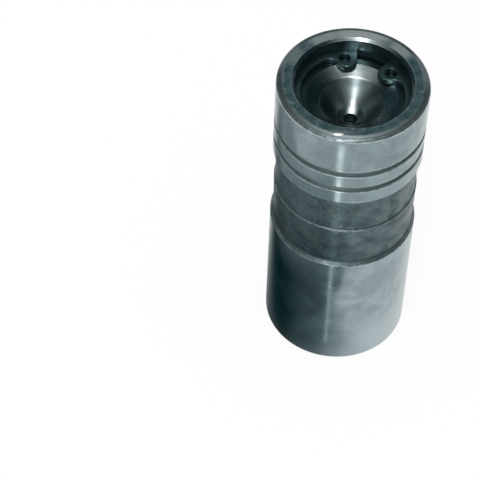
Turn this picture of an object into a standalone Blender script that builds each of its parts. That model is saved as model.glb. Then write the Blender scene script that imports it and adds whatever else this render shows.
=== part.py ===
"""A hydraulic valve lifter for a flat camshaft, at its real size, standing on its cam face.

The turned body holds a sliding plunger that a coil spring lifts against the retaining ring.
The pushrod seat and the metering disc lie on the plunger. Under the plunger a small ball,
its spring and a stamped cage make the check valve that keeps the oil in the lower chamber.
Z points up and the origin is at the middle of the cam face. Every size is in metres.
"""

import math

import bmesh
import bpy
from mathutils import Vector

MM = 0.001

# How finely round forms are faceted
FACETS = 56
SMALL_FACETS = 24
BALL_FACETS = 20
BALL_RINGS = 12
DRILL_FACETS = 16
RING_INNER_FACETS = 32
FILLET_STEP = math.radians(24)
SMOOTH_BELOW = math.radians(35)
WELD = 0.0001 * MM

# Clearances
SEATED_GAP = 0.05 * MM
RUNNING_CLEARANCE = 0.04 * MM
CUT_MARGIN = 0.6 * MM

# Body, outside
BODY_DIAMETER = 21.38 * MM
BODY_LENGTH = 50.8 * MM
FOOT_EDGE_BREAK = 0.3 * MM
RIM_CHAMFER_WIDTH = 0.89 * MM
RIM_CHAMFER_HEIGHT = 0.34 * MM
TOP_LAND_HEIGHT = 6.8 * MM
LAND_GROOVE_WIDTH = 1.0 * MM
LAND_GROOVE_DEPTH = 0.45 * MM
MIDDLE_LAND_HEIGHT = 2.19 * MM
LOWER_LAND_HEIGHT = 2.31 * MM
NECK_HEIGHT = 6.53 * MM
NECK_DEPTH = 0.5 * MM
NECK_FILLET = 0.3 * MM
WAIST_HEIGHT = 7.37 * MM
WAIST_DEPTH_TOP = 0.33 * MM
WAIST_DEPTH_BOTTOM = 0.45 * MM
SHOULDER_HEIGHT = 0.63 * MM

# Body, inside
BODY_WALL = 2.56 * MM
MOUTH_CHAMFER = 0.36 * MM
FOOT_THICKNESS = 6.2 * MM
CHAMBER_LEDGE = 1.83 * MM
CHAMBER_FILLET = 0.9 * MM
CHAMBER_HEIGHT = 11.4 * MM
OIL_ANNULUS_WIDTH = 3.2 * MM
OIL_ANNULUS_DEPTH = 0.47 * MM
FEED_HOLE_DIAMETER = 2.4 * MM
FEED_HOLE_DROP = 3.4 * MM
FEED_HOLE_AZIMUTH = math.radians(90)

# Retaining ring, a stamped internal ring with two eyes
RING_DEPTH = 2.23 * MM
RING_THICKNESS = 0.85 * MM
RING_GROOVE_DEPTH = 0.47 * MM
RING_WIDTH = 1.3 * MM
RING_GAP_AZIMUTH = math.radians(67.3)
EYE_SPREAD = math.radians(29)
EYE_HOLE_DIAMETER = 1.6 * MM
EYE_HOLE_OUTSET = 0.3 * MM
EYE_HOLE_SETBACK = 0.25 * MM
EYE_WALL = 0.62 * MM
EYE_CENTRE_INSET = 1.71 * MM
EYE_END_REACH = 1.44 * MM
EYE_END_LEAN = math.radians(9)
EYE_CORNER_RADIUS = 1.3 * MM
EYE_NECK_RADIUS = 1.4 * MM

# Pushrod seat
SEAT_FLOOR = 1.5 * MM
SEAT_TOP_CHAMFER = 0.65 * MM
SEAT_BOTTOM_CHAMFER = 0.3 * MM
DISH_LAND = 1.69 * MM
DISH_WIDTH = 1.9 * MM
DISH_ANGLE = math.radians(23.6)
SOCKET_MOUTH_RADIUS = 0.3 * MM
SOCKET_CONE_ANGLE = math.radians(49)
SOCKET_BALL_RADIUS = 2.5 * MM
SEAT_OIL_HOLE_DIAMETER = 2.0 * MM

# Metering disc
DISC_THICKNESS = 0.5 * MM
DISC_HOLE_DIAMETER = 0.8 * MM
DISC_LIFT = 0.2 * MM

# Plunger
PLUNGER_TRAVEL = 4.2 * MM
TRAVEL_RESERVE = 0.2 * MM
PLUNGER_EDGE_BREAK = 0.3 * MM
PLUNGER_OIL_GROOVE_WIDTH = 4.4 * MM
PLUNGER_OIL_GROOVE_DEPTH = 0.6 * MM
CROSS_HOLE_DIAMETER = 1.8 * MM
PLUNGER_WALL = 2.69 * MM
RESERVOIR_FILLET = 0.9 * MM
DISC_POCKET_LIP = 1.79 * MM
VALVE_WALL = 1.4 * MM
VALVE_HOLE_DIAMETER = 3.0 * MM
VALVE_CONE_HEIGHT = 0.4 * MM
CAGE_RECESS_LIP = 2.19 * MM
CAGE_RECESS_DEPTH = 0.9 * MM

# Check valve
BALL_DIAMETER = 4.76 * MM
BALL_LIFT = 0.4 * MM
SHEET_THICKNESS = 0.4 * MM
BALL_SIDE_PLAY = 0.52 * MM
CAGE_BEND_RADIUS = 0.35 * MM
CAGE_FLOOR_HOLE_DIAMETER = 1.6 * MM
CAGE_WINDOWS = 3
CAGE_WINDOW_WIDTH = 2.2 * MM
CAGE_WINDOW_HEIGHT = 2.4 * MM
BALL_SPRING_WIRE = 0.26 * MM
BALL_SPRING_TOP_DIAMETER = 2.6 * MM
BALL_SPRING_BOTTOM_DIAMETER = 3.2 * MM
BALL_SPRING_TURNS = 3.5

# Plunger spring
SPRING_WIRE = 1.1 * MM
SPRING_TURNS = 5.5
COIL_CLEARANCE = 0.04 * MM
COIL_POINTS = 16

# Radii and heights that follow from the sizes above
BODY_RADIUS = BODY_DIAMETER / 2
BORE_RADIUS = BODY_RADIUS - BODY_WALL
CHAMBER_RADIUS = BORE_RADIUS - CHAMBER_LEDGE
PLUNGER_RADIUS = BORE_RADIUS - RUNNING_CLEARANCE
RESERVOIR_RADIUS = PLUNGER_RADIUS - PLUNGER_WALL
DISC_POCKET_RADIUS = PLUNGER_RADIUS - DISC_POCKET_LIP
CAGE_RECESS_RADIUS = PLUNGER_RADIUS - CAGE_RECESS_LIP
DISH_RADIUS = PLUNGER_RADIUS - DISH_LAND
BALL_RADIUS = BALL_DIAMETER / 2
CAGE_INSIDE_RADIUS = BALL_RADIUS + BALL_SIDE_PLAY
CAGE_OUTSIDE_RADIUS = CAGE_INSIDE_RADIUS + SHEET_THICKNESS
SPRING_DIAMETER = CHAMBER_RADIUS + CAGE_OUTSIDE_RADIUS
SEAT_OIL_HOLE_RADIUS = SEAT_OIL_HOLE_DIAMETER / 2
MOUTH_RADIUS = DISH_RADIUS - DISH_WIDTH
MOUTH_DROP = DISH_WIDTH * math.tan(DISH_ANGLE)
CONE_FOOT_RADIUS = SOCKET_BALL_RADIUS * math.sin(SOCKET_CONE_ANGLE)
CONE_FOOT_DROP = MOUTH_DROP + (MOUTH_RADIUS - CONE_FOOT_RADIUS) * math.tan(SOCKET_CONE_ANGLE)
SOCKET_CENTRE_DROP = CONE_FOOT_DROP - SOCKET_BALL_RADIUS * math.cos(SOCKET_CONE_ANGLE)
SOCKET_DEPTH = SOCKET_CENTRE_DROP + math.sqrt(SOCKET_BALL_RADIUS**2 - SEAT_OIL_HOLE_RADIUS**2)
SEAT_HEIGHT = SOCKET_DEPTH + SEAT_FLOOR
RING_TOP = BODY_LENGTH - RING_DEPTH
RING_BOTTOM = RING_TOP - RING_THICKNESS
SEAT_TOP = RING_BOTTOM - SEATED_GAP
PLUNGER_TOP = SEAT_TOP - SEAT_HEIGHT - SEATED_GAP
PLUNGER_BOTTOM = FOOT_THICKNESS + CHAMBER_HEIGHT
PLUNGER_LENGTH = PLUNGER_TOP - PLUNGER_BOTTOM
BORE_BOTTOM = PLUNGER_BOTTOM - PLUNGER_TRAVEL - TRAVEL_RESERVE
LOWER_LAND_BOTTOM = (
    BODY_LENGTH - TOP_LAND_HEIGHT - MIDDLE_LAND_HEIGHT - LOWER_LAND_HEIGHT - 2 * LAND_GROOVE_WIDTH
)
NECK_BOTTOM = LOWER_LAND_BOTTOM - NECK_HEIGHT
FEED_HOLE_HEIGHT = LOWER_LAND_BOTTOM - FEED_HOLE_DROP
VALVE_FACE = CAGE_RECESS_DEPTH
VALVE_CONE_RADIUS = VALVE_HOLE_DIAMETER / 2 + VALVE_CONE_HEIGHT
BALL_SPRING_HEIGHT = BALL_SPRING_WIRE * (BALL_SPRING_TURNS + 1) + BALL_LIFT


def steel(name, colour, roughness):
    """A metal surface of one colour."""
    material = bpy.data.materials.new(name)
    material.use_nodes = True
    shader = material.node_tree.nodes["Principled BSDF"]
    shader.inputs["Base Color"].default_value = (*colour, 1.0)
    shader.inputs["Metallic"].default_value = 1.0
    shader.inputs["Roughness"].default_value = roughness
    return material


def placed(name, shape, material, parent=None, height=0.0):
    """An object from a finished bmesh, shaded smooth between its real edges."""
    mesh = bpy.data.meshes.new(name)
    bmesh.ops.recalc_face_normals(shape, faces=shape.faces)
    shape.to_mesh(mesh)
    shape.free()
    mesh.shade_smooth()
    mesh.set_sharp_from_angle(angle=SMOOTH_BELOW)
    mesh.materials.append(material)
    piece = bpy.data.objects.new(name, mesh)
    piece.parent = parent
    piece.location.z = height
    bpy.context.scene.collection.objects.link(piece)
    return piece


def carrier(name, height):
    """An empty on the lifter's axis that carries the pieces which slide together."""
    empty = bpy.data.objects.new(name, None)
    empty.location.z = height
    bpy.context.scene.collection.objects.link(empty)
    return empty


def arc(centre, radius, start, end, steps=None):
    """Points of an arc in a plane, both ends included."""
    if steps is None:
        steps = max(2, math.ceil(abs(end - start) / FILLET_STEP))
    angles = [start + (end - start) * step / steps for step in range(steps + 1)]
    return [
        (centre[0] + radius * math.cos(angle), centre[1] + radius * math.sin(angle))
        for angle in angles
    ]


def fillet(before, corner, after, radius):
    """The arc that rounds the corner between two straight lines."""
    corner = Vector(corner)
    inward = (Vector(before) - corner).normalized()
    onward = (Vector(after) - corner).normalized()
    half = inward.angle(onward) / 2
    centre = corner + (inward + onward).normalized() * radius / math.sin(half)
    first = corner + inward * radius / math.tan(half) - centre
    last = corner + onward * radius / math.tan(half) - centre
    start = math.atan2(first.y, first.x)
    turn = (math.atan2(last.y, last.x) - start + math.pi) % math.tau - math.pi
    return arc(centre, radius, start, start + turn)


def turned(profile, facets=FACETS):
    """A profile of (radius, height) points turned about Z.

    A profile that starts and ends on the axis gives a solid piece. Any other is closed to a
    loop, which gives a piece with a hole through it.
    """
    shape = bmesh.new()
    verts = [shape.verts.new((radius, 0.0, height)) for radius, height in profile]
    on_axis = profile[0][0] == 0.0 and profile[-1][0] == 0.0
    following = verts[1:] if on_axis else verts[1:] + verts[:1]
    edges = [shape.edges.new(pair) for pair in zip(verts, following)]
    bmesh.ops.spin(
        shape,
        geom=verts + edges,
        cent=(0, 0, 0),
        axis=(0, 0, 1),
        angle=math.tau,
        steps=facets,
        use_merge=True,
    )
    bmesh.ops.remove_doubles(shape, verts=shape.verts, dist=WELD)
    return shape


def extruded(outline, thickness):
    """A flat outline of (x, y) points raised from height 0 to the thickness."""
    shape = bmesh.new()
    face = shape.faces.new([shape.verts.new((x, y, 0.0)) for x, y in outline])
    raised = bmesh.ops.extrude_face_region(shape, geom=[face])["geom"]
    top = [item for item in raised if isinstance(item, bmesh.types.BMVert)]
    bmesh.ops.translate(shape, verts=top, vec=(0, 0, thickness))
    return shape


def drilled(piece, name, diameter, start, direction, length):
    """Cuts a round hole into a piece, from a start point in the piece's own space."""
    shape = bmesh.new()
    bmesh.ops.create_cone(
        shape,
        cap_ends=True,
        segments=DRILL_FACETS,
        radius1=diameter / 2,
        radius2=diameter / 2,
        depth=length,
    )
    bmesh.ops.translate(shape, verts=shape.verts, vec=(0, 0, length / 2))
    bmesh.ops.rotate(
        shape,
        verts=shape.verts,
        matrix=Vector((0, 0, 1)).rotation_difference(Vector(direction)).to_matrix(),
    )
    bmesh.ops.translate(shape, verts=shape.verts, vec=start)
    cut_away(piece, name, shape)


def cut_away(piece, name, shape):
    """Subtracts a cutter that stays beside its piece, out of the render."""
    mesh = bpy.data.meshes.new(name)
    bmesh.ops.recalc_face_normals(shape, faces=shape.faces)
    shape.to_mesh(mesh)
    shape.free()
    cutter = bpy.data.objects.new(name, mesh)
    cutter.parent = piece
    cutter.hide_render = True
    cutter.display_type = "WIRE"
    bpy.context.scene.collection.objects.link(cutter)
    cut = piece.modifiers.new(name, "BOOLEAN")
    cut.operation = "DIFFERENCE"
    cut.solver = "EXACT"
    cut.object = cutter


def body_outside():
    """The body's outer side, from the middle of the foot up to the inner edge of the rim."""
    radius = BODY_RADIUS
    neck = radius - NECK_DEPTH
    waist_top = radius - WAIST_DEPTH_TOP
    waist_bottom = radius - WAIST_DEPTH_BOTTOM
    waist_step = NECK_DEPTH - WAIST_DEPTH_TOP
    waist_foot = NECK_BOTTOM - WAIST_HEIGHT
    profile = [
        (0.0, 0.0),
        (radius - FOOT_EDGE_BREAK, 0.0),
        (radius, FOOT_EDGE_BREAK),
        (radius, waist_foot - SHOULDER_HEIGHT),
        (waist_bottom, waist_foot),
        (waist_top, NECK_BOTTOM - waist_step),
        (neck, NECK_BOTTOM),
    ]
    profile += fillet(
        (neck, NECK_BOTTOM), (neck, LOWER_LAND_BOTTOM), (radius, LOWER_LAND_BOTTOM), NECK_FILLET
    )
    profile.append((radius, LOWER_LAND_BOTTOM))
    height = LOWER_LAND_BOTTOM
    for land in (LOWER_LAND_HEIGHT, MIDDLE_LAND_HEIGHT):
        height += land
        profile.append((radius, height))
        profile.append((radius - LAND_GROOVE_DEPTH, height))
        height += LAND_GROOVE_WIDTH
        profile.append((radius - LAND_GROOVE_DEPTH, height))
        profile.append((radius, height))
    profile.append((radius, BODY_LENGTH - RIM_CHAMFER_HEIGHT))
    profile.append((radius - RIM_CHAMFER_WIDTH, BODY_LENGTH))
    return profile


def body_inside():
    """The body's inner side, from the rim down the bore to the middle of the chamber's floor."""
    groove_top = RING_TOP + SEATED_GAP
    annulus_top = FEED_HOLE_HEIGHT + OIL_ANNULUS_WIDTH / 2
    annulus_bottom = FEED_HOLE_HEIGHT - OIL_ANNULUS_WIDTH / 2
    chamber = CHAMBER_RADIUS
    profile = [
        (BORE_RADIUS + MOUTH_CHAMFER, BODY_LENGTH),
        (BORE_RADIUS, BODY_LENGTH - MOUTH_CHAMFER),
        (BORE_RADIUS, groove_top),
        (BORE_RADIUS + RING_GROOVE_DEPTH, groove_top),
        (BORE_RADIUS + RING_GROOVE_DEPTH, SEAT_TOP),
        (BORE_RADIUS, SEAT_TOP),
        (BORE_RADIUS, annulus_top),
        (BORE_RADIUS + OIL_ANNULUS_DEPTH, annulus_top - OIL_ANNULUS_DEPTH),
        (BORE_RADIUS + OIL_ANNULUS_DEPTH, annulus_bottom + OIL_ANNULUS_DEPTH),
        (BORE_RADIUS, annulus_bottom),
        (BORE_RADIUS, BORE_BOTTOM),
        (chamber, BORE_BOTTOM),
    ]
    profile += fillet(
        (chamber, BORE_BOTTOM), (chamber, FOOT_THICKNESS), (0.0, FOOT_THICKNESS), CHAMBER_FILLET
    )
    profile.append((0.0, FOOT_THICKNESS))
    return profile


def make_body():
    """The turned body, with the oil feed hole drilled through its neck."""
    finish = steel("ground_steel", (0.42, 0.47, 0.48), 0.28)
    body = placed("lifter_body", turned(body_outside() + body_inside()), finish)
    outward = Vector((math.cos(FEED_HOLE_AZIMUTH), math.sin(FEED_HOLE_AZIMUTH), 0.0))
    start = outward * (BORE_RADIUS - CUT_MARGIN)
    start.z = FEED_HOLE_HEIGHT
    length = BODY_RADIUS - BORE_RADIUS + 2 * CUT_MARGIN
    drilled(body, "feed_hole_drill", FEED_HOLE_DIAMETER, start, outward, length)
    return body


def eye_outline(inner, outer, eye_centre):
    """Half of the ring's outline, in the ring's plane with the gap's middle on +X.

    It runs from the ring's outer edge at the gap, round the eye, to the end of the concave
    bend where the eye meets the ring's inner edge. The eye's free corner is rounded as far as
    the straight edge at its tip has room for it.
    """
    along = Vector((math.cos(EYE_SPREAD), math.sin(EYE_SPREAD)))
    to_gap = Vector((along.y, -along.x))
    eye_radius = EYE_HOLE_DIAMETER / 2 + EYE_WALL
    tip = eye_centre - eye_radius
    lean = math.tan(EYE_END_LEAN)

    def end_edge(reach):
        """The point of the straight end edge at a distance along the eye's own radius."""
        return (reach, EYE_END_REACH + lean * (reach - eye_centre))

    bend_distance = inner - EYE_NECK_RADIUS
    bend_reach = eye_radius + EYE_NECK_RADIUS
    bend_along = (bend_distance**2 - bend_reach**2 + eye_centre**2) / (2 * eye_centre)
    bend_across = -math.sqrt(bend_distance**2 - bend_along**2)
    toward_bend = math.atan2(bend_across, bend_along - eye_centre)
    bend_start = toward_bend + math.pi
    bend_end = math.atan2(bend_across, bend_along)

    tip_corner = end_edge(tip)
    room = tip_corner[1] * math.tan((math.pi / 2 + EYE_END_LEAN) / 2) - SEATED_GAP
    corner_radius = min(EYE_CORNER_RADIUS, room)
    points = [end_edge(outer * math.cos(EYE_END_REACH / outer))]
    points += fillet(end_edge(outer), tip_corner, (tip, 0.0), corner_radius)
    points += arc((eye_centre, 0.0), eye_radius, -math.pi, toward_bend)
    points += arc((bend_along, bend_across), EYE_NECK_RADIUS, bend_start, bend_end)[1:]
    return [along * reach + to_gap * across for reach, across in points]


def make_retaining_ring():
    """The flat ring that sprang into the bore's groove, with an eye at each end."""
    finish = steel("oiled_spring_steel", (0.14, 0.19, 0.2), 0.35)
    outer = BORE_RADIUS + RING_GROOVE_DEPTH - SEATED_GAP
    inner = outer - RING_WIDTH
    eye_centre = BORE_RADIUS - EYE_CENTRE_INSET
    half = eye_outline(inner, outer, eye_centre)
    end_angle = math.atan2(half[0].y, half[0].x)
    half[0] = Vector((outer * math.cos(end_angle), outer * math.sin(end_angle)))
    bend_angle = math.atan2(half[-1].y, half[-1].x)
    inner_edge = arc((0, 0), inner, bend_angle, math.tau - bend_angle, steps=RING_INNER_FACETS)
    outer_edge = arc((0, 0), outer, math.tau - end_angle, end_angle, steps=FACETS)
    mirrored = [Vector((point.x, -point.y)) for point in reversed(half)]
    outline = list(half) + inner_edge[1:-1] + mirrored + outer_edge[1:-1]
    ring = placed("retaining_ring", extruded(outline, RING_THICKNESS), finish, height=RING_BOTTOM)
    hole_along = eye_centre + EYE_HOLE_OUTSET
    hole_distance = math.hypot(hole_along, EYE_HOLE_SETBACK)
    hole_angle = EYE_SPREAD + math.atan2(EYE_HOLE_SETBACK, hole_along)
    for side in (-1, 1):
        angle = side * hole_angle
        start = (hole_distance * math.cos(angle), hole_distance * math.sin(angle), -CUT_MARGIN)
        length = RING_THICKNESS + 2 * CUT_MARGIN
        name = "left_eye_punch" if side > 0 else "right_eye_punch"
        drilled(ring, name, EYE_HOLE_DIAMETER, start, (0, 0, 1), length)
    ring.rotation_euler.z = RING_GAP_AZIMUTH
    return ring


def socket_profile():
    """The seat's dish, the socket's cone and its ball-shaped bottom, from the dish's edge in."""
    dish_edge = (DISH_RADIUS, SEAT_HEIGHT)
    mouth = (MOUTH_RADIUS, SEAT_HEIGHT - MOUTH_DROP)
    cone_foot = (CONE_FOOT_RADIUS, SEAT_HEIGHT - CONE_FOOT_DROP)
    centre = (0.0, SEAT_HEIGHT - SOCKET_CENTRE_DROP)
    bottom_start = SOCKET_CONE_ANGLE - math.pi / 2
    bottom_end = -math.acos(SEAT_OIL_HOLE_RADIUS / SOCKET_BALL_RADIUS)
    profile = [dish_edge]
    profile += fillet(dish_edge, mouth, cone_foot, SOCKET_MOUTH_RADIUS)
    return profile + arc(centre, SOCKET_BALL_RADIUS, bottom_start, bottom_end)


def make_pushrod_seat(parent):
    """The seat that the pushrod's ball end turns in, with the oil hole at its bottom."""
    finish = steel("turned_steel", (0.36, 0.41, 0.42), 0.3)
    profile = [
        (SEAT_OIL_HOLE_RADIUS, 0.0),
        (PLUNGER_RADIUS - SEAT_BOTTOM_CHAMFER, 0.0),
        (PLUNGER_RADIUS, SEAT_BOTTOM_CHAMFER),
        (PLUNGER_RADIUS, SEAT_HEIGHT - SEAT_TOP_CHAMFER),
        (PLUNGER_RADIUS - SEAT_TOP_CHAMFER, SEAT_HEIGHT),
    ]
    profile += socket_profile()
    return placed("pushrod_seat", turned(profile), finish, parent, PLUNGER_LENGTH + SEATED_GAP)


def make_metering_disc(parent):
    """The thin disc in the plunger's top pocket that lets a little oil up to the pushrod."""
    finish = steel("spring_steel", (0.4, 0.42, 0.43), 0.3)
    radius = DISC_POCKET_RADIUS - RUNNING_CLEARANCE
    hole = DISC_HOLE_DIAMETER / 2
    profile = [(hole, 0.0), (radius, 0.0), (radius, DISC_THICKNESS), (hole, DISC_THICKNESS)]
    height = PLUNGER_LENGTH - DISC_LIFT - DISC_THICKNESS
    return placed("metering_disc", turned(profile, SMALL_FACETS), finish, parent, height)


def make_plunger(parent):
    """The hollow plunger: oil groove outside, reservoir inside, valve seat and cage recess below."""
    finish = steel("lapped_steel", (0.45, 0.48, 0.49), 0.22)
    radius = PLUNGER_RADIUS
    groove = radius - PLUNGER_OIL_GROOVE_DEPTH
    groove_middle = FEED_HOLE_HEIGHT - PLUNGER_BOTTOM
    groove_bottom = groove_middle - PLUNGER_OIL_GROOVE_WIDTH / 2
    groove_top = groove_middle + PLUNGER_OIL_GROOVE_WIDTH / 2
    pocket_floor = PLUNGER_LENGTH - DISC_LIFT - DISC_THICKNESS - SEATED_GAP
    reservoir = RESERVOIR_RADIUS
    reservoir_floor = VALVE_FACE + VALVE_WALL
    hole = VALVE_HOLE_DIAMETER / 2
    profile = [
        (VALVE_CONE_RADIUS, VALVE_FACE),
        (CAGE_RECESS_RADIUS, VALVE_FACE),
        (CAGE_RECESS_RADIUS, 0.0),
        (radius - PLUNGER_EDGE_BREAK, 0.0),
        (radius, PLUNGER_EDGE_BREAK),
        (radius, groove_bottom),
        (groove, groove_bottom + PLUNGER_OIL_GROOVE_DEPTH),
        (groove, groove_top - PLUNGER_OIL_GROOVE_DEPTH),
        (radius, groove_top),
        (radius, PLUNGER_LENGTH - PLUNGER_EDGE_BREAK),
        (radius - PLUNGER_EDGE_BREAK, PLUNGER_LENGTH),
        (DISC_POCKET_RADIUS, PLUNGER_LENGTH),
        (DISC_POCKET_RADIUS, pocket_floor),
        (reservoir, pocket_floor),
    ]
    profile += fillet(
        (reservoir, pocket_floor),
        (reservoir, reservoir_floor),
        (hole, reservoir_floor),
        RESERVOIR_FILLET,
    )
    profile.append((hole, reservoir_floor))
    profile.append((hole, VALVE_FACE + VALVE_CONE_HEIGHT))
    plunger = placed("plunger", turned(profile), finish, parent)
    outward = Vector((math.cos(FEED_HOLE_AZIMUTH), math.sin(FEED_HOLE_AZIMUTH), 0.0))
    start = outward * (reservoir - CUT_MARGIN)
    start.z = groove_middle
    length = radius - reservoir + 2 * CUT_MARGIN
    drilled(plunger, "cross_hole_drill", CROSS_HOLE_DIAMETER, start, outward, length)
    return plunger


def ball_centre():
    """The height of the closed ball's centre over the plunger's lower face.

    The valve seat is a cone of 45 degrees, so the ball meets it at 45 degrees below the cone.
    """
    reach = BALL_RADIUS + SEATED_GAP
    contact_radius = reach * math.cos(math.pi / 4)
    contact_height = VALVE_FACE + VALVE_CONE_RADIUS - contact_radius
    return contact_height - reach * math.sin(math.pi / 4)


def cage_floor():
    """The height of the cage floor's upper side, which the ball's spring stands on."""
    ring_of_contact = BALL_SPRING_TOP_DIAMETER / 2
    ball_under = ball_centre() - math.sqrt(BALL_RADIUS**2 - ring_of_contact**2)
    return ball_under - BALL_SPRING_HEIGHT - 2 * SEATED_GAP


def make_check_ball(parent):
    """The ball that closes the hole in the plunger's floor."""
    shape = bmesh.new()
    bmesh.ops.create_uvsphere(shape, u_segments=BALL_FACETS, v_segments=BALL_RINGS, radius=BALL_RADIUS)
    finish = steel("bearing_steel", (0.6, 0.6, 0.6), 0.1)
    return placed("check_ball", shape, finish, parent, ball_centre())


def make_check_ball_retainer(parent):
    """The stamped cage: a flange in the plunger's recess and a cup with windows below the ball."""
    inside = CAGE_INSIDE_RADIUS
    outside = CAGE_OUTSIDE_RADIUS
    floor = cage_floor()
    flange_top = VALVE_FACE - SEATED_GAP
    flange_bottom = flange_top - SHEET_THICKNESS
    flange_edge = CAGE_RECESS_RADIUS - RUNNING_CLEARANCE
    hole = CAGE_FLOOR_HOLE_DIAMETER / 2
    under = floor - SHEET_THICKNESS
    bend = CAGE_BEND_RADIUS
    profile = [(hole, under)]
    profile += fillet((hole, under), (outside, under), (outside, flange_bottom), bend * 2)
    profile += fillet((outside, under), (outside, flange_bottom), (flange_edge, flange_bottom), bend)
    profile += [(flange_edge, flange_bottom), (flange_edge, flange_top)]
    profile += fillet((flange_edge, flange_top), (inside, flange_top), (inside, floor), bend * 2)
    profile += fillet((inside, flange_top), (inside, floor), (hole, floor), bend)
    profile.append((hole, floor))
    finish = steel("stamped_steel", (0.38, 0.39, 0.4), 0.35)
    cage = placed("check_ball_retainer", turned(profile, SMALL_FACETS), finish, parent)
    middle = (floor + flange_bottom) / 2
    for window in range(CAGE_WINDOWS):
        angle = math.tau * window / CAGE_WINDOWS
        cut_away(cage, f"cage_window_punch_{window + 1}", window_cutter(inside, middle, angle))
    return cage


def window_cutter(inside, middle, angle):
    """A block that stands through the cage's wall at one angle."""
    shape = bmesh.new()
    bmesh.ops.create_cube(shape, size=1.0)
    depth = SHEET_THICKNESS + 2 * CUT_MARGIN
    size = (depth, CAGE_WINDOW_WIDTH, CAGE_WINDOW_HEIGHT)
    bmesh.ops.scale(shape, verts=shape.verts, vec=size)
    bmesh.ops.translate(shape, verts=shape.verts, vec=(inside + SHEET_THICKNESS / 2, 0, middle))
    turn = Vector((1, 0, 0)).rotation_difference(Vector((math.cos(angle), math.sin(angle), 0)))
    bmesh.ops.rotate(shape, verts=shape.verts, matrix=turn.to_matrix())
    return shape


def coil(name, wire, bottom, top, bottom_diameter, top_diameter, turns, finish, parent=None):
    """A coil spring between two heights, with its end turns closed against their neighbours."""
    points = round(turns * COIL_POINTS)
    low = bottom + wire / 2
    high = top - wire / 2
    closed_pitch = wire + COIL_CLEARANCE
    open_pitch = (high - low - 2 * closed_pitch) / (turns - 2)
    curve = bpy.data.curves.new(name, "CURVE")
    curve.dimensions = "3D"
    curve.bevel_depth = wire / 2
    curve.bevel_resolution = 2
    curve.use_fill_caps = True
    spline = curve.splines.new("POLY")
    spline.points.add(points)
    for index, point in enumerate(spline.points):
        turn = turns * index / points
        middle_turns = min(max(turn - 1, 0), turns - 2)
        end_turns = turn - middle_turns
        height = low + closed_pitch * end_turns + open_pitch * middle_turns
        share = turn / turns
        radius = (bottom_diameter * (1 - share) + top_diameter * share) / 2
        angle = math.tau * turn
        point.co = (radius * math.cos(angle), radius * math.sin(angle), height, 1.0)
    spline.use_smooth = True
    curve.materials.append(finish)
    spring = bpy.data.objects.new(name, curve)
    spring.parent = parent
    bpy.context.scene.collection.objects.link(spring)
    return spring


def make_check_ball_spring(parent):
    """The light spring that closes the ball, standing on the cage's floor."""
    bottom = cage_floor() + SEATED_GAP
    return coil(
        "check_ball_spring",
        BALL_SPRING_WIRE,
        bottom,
        bottom + BALL_SPRING_HEIGHT,
        BALL_SPRING_BOTTOM_DIAMETER,
        BALL_SPRING_TOP_DIAMETER,
        BALL_SPRING_TURNS,
        steel("fine_spring_wire", (0.5, 0.5, 0.5), 0.2),
        parent,
    )


def make_plunger_spring():
    """The spring that stands on the chamber's floor and lifts the plunger by the cage's flange."""
    flange_bottom = PLUNGER_BOTTOM + VALVE_FACE - SEATED_GAP - SHEET_THICKNESS
    return coil(
        "plunger_spring",
        SPRING_WIRE,
        FOOT_THICKNESS + SEATED_GAP,
        flange_bottom - SEATED_GAP,
        SPRING_DIAMETER,
        SPRING_DIAMETER,
        SPRING_TURNS,
        steel("spring_wire", (0.4, 0.4, 0.4), 0.25),
    )


def main():
    """Builds the lifter at rest, with its plunger up against the retaining ring."""
    for item in list(bpy.context.scene.objects):
        bpy.data.objects.remove(item)
    make_body()
    make_retaining_ring()
    make_plunger_spring()
    sliding = carrier("plunger_slide", PLUNGER_BOTTOM)
    make_plunger(sliding)
    make_pushrod_seat(sliding)
    make_metering_disc(sliding)
    make_check_ball_retainer(sliding)
    make_check_ball_spring(sliding)
    make_check_ball(sliding)


main()
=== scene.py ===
"""The looks of a flat-footed hydraulic valve lifter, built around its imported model.

Every piece is turned, bent or stamped again here, finely enough to show its rounded edges, and
dressed in its own steel finish. A field that gives a size is in millimetres and one that gives an
angle is in degrees. Meshes are in metres, with the origin at the middle of the cam face and Z up.
"""

import logging
import math
from abc import ABC, abstractmethod
from collections.abc import Sequence
from dataclasses import dataclass, field
from enum import Enum
from typing import Any, ClassVar

import bmesh
import bpy
from mathutils import Matrix, Vector


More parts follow.
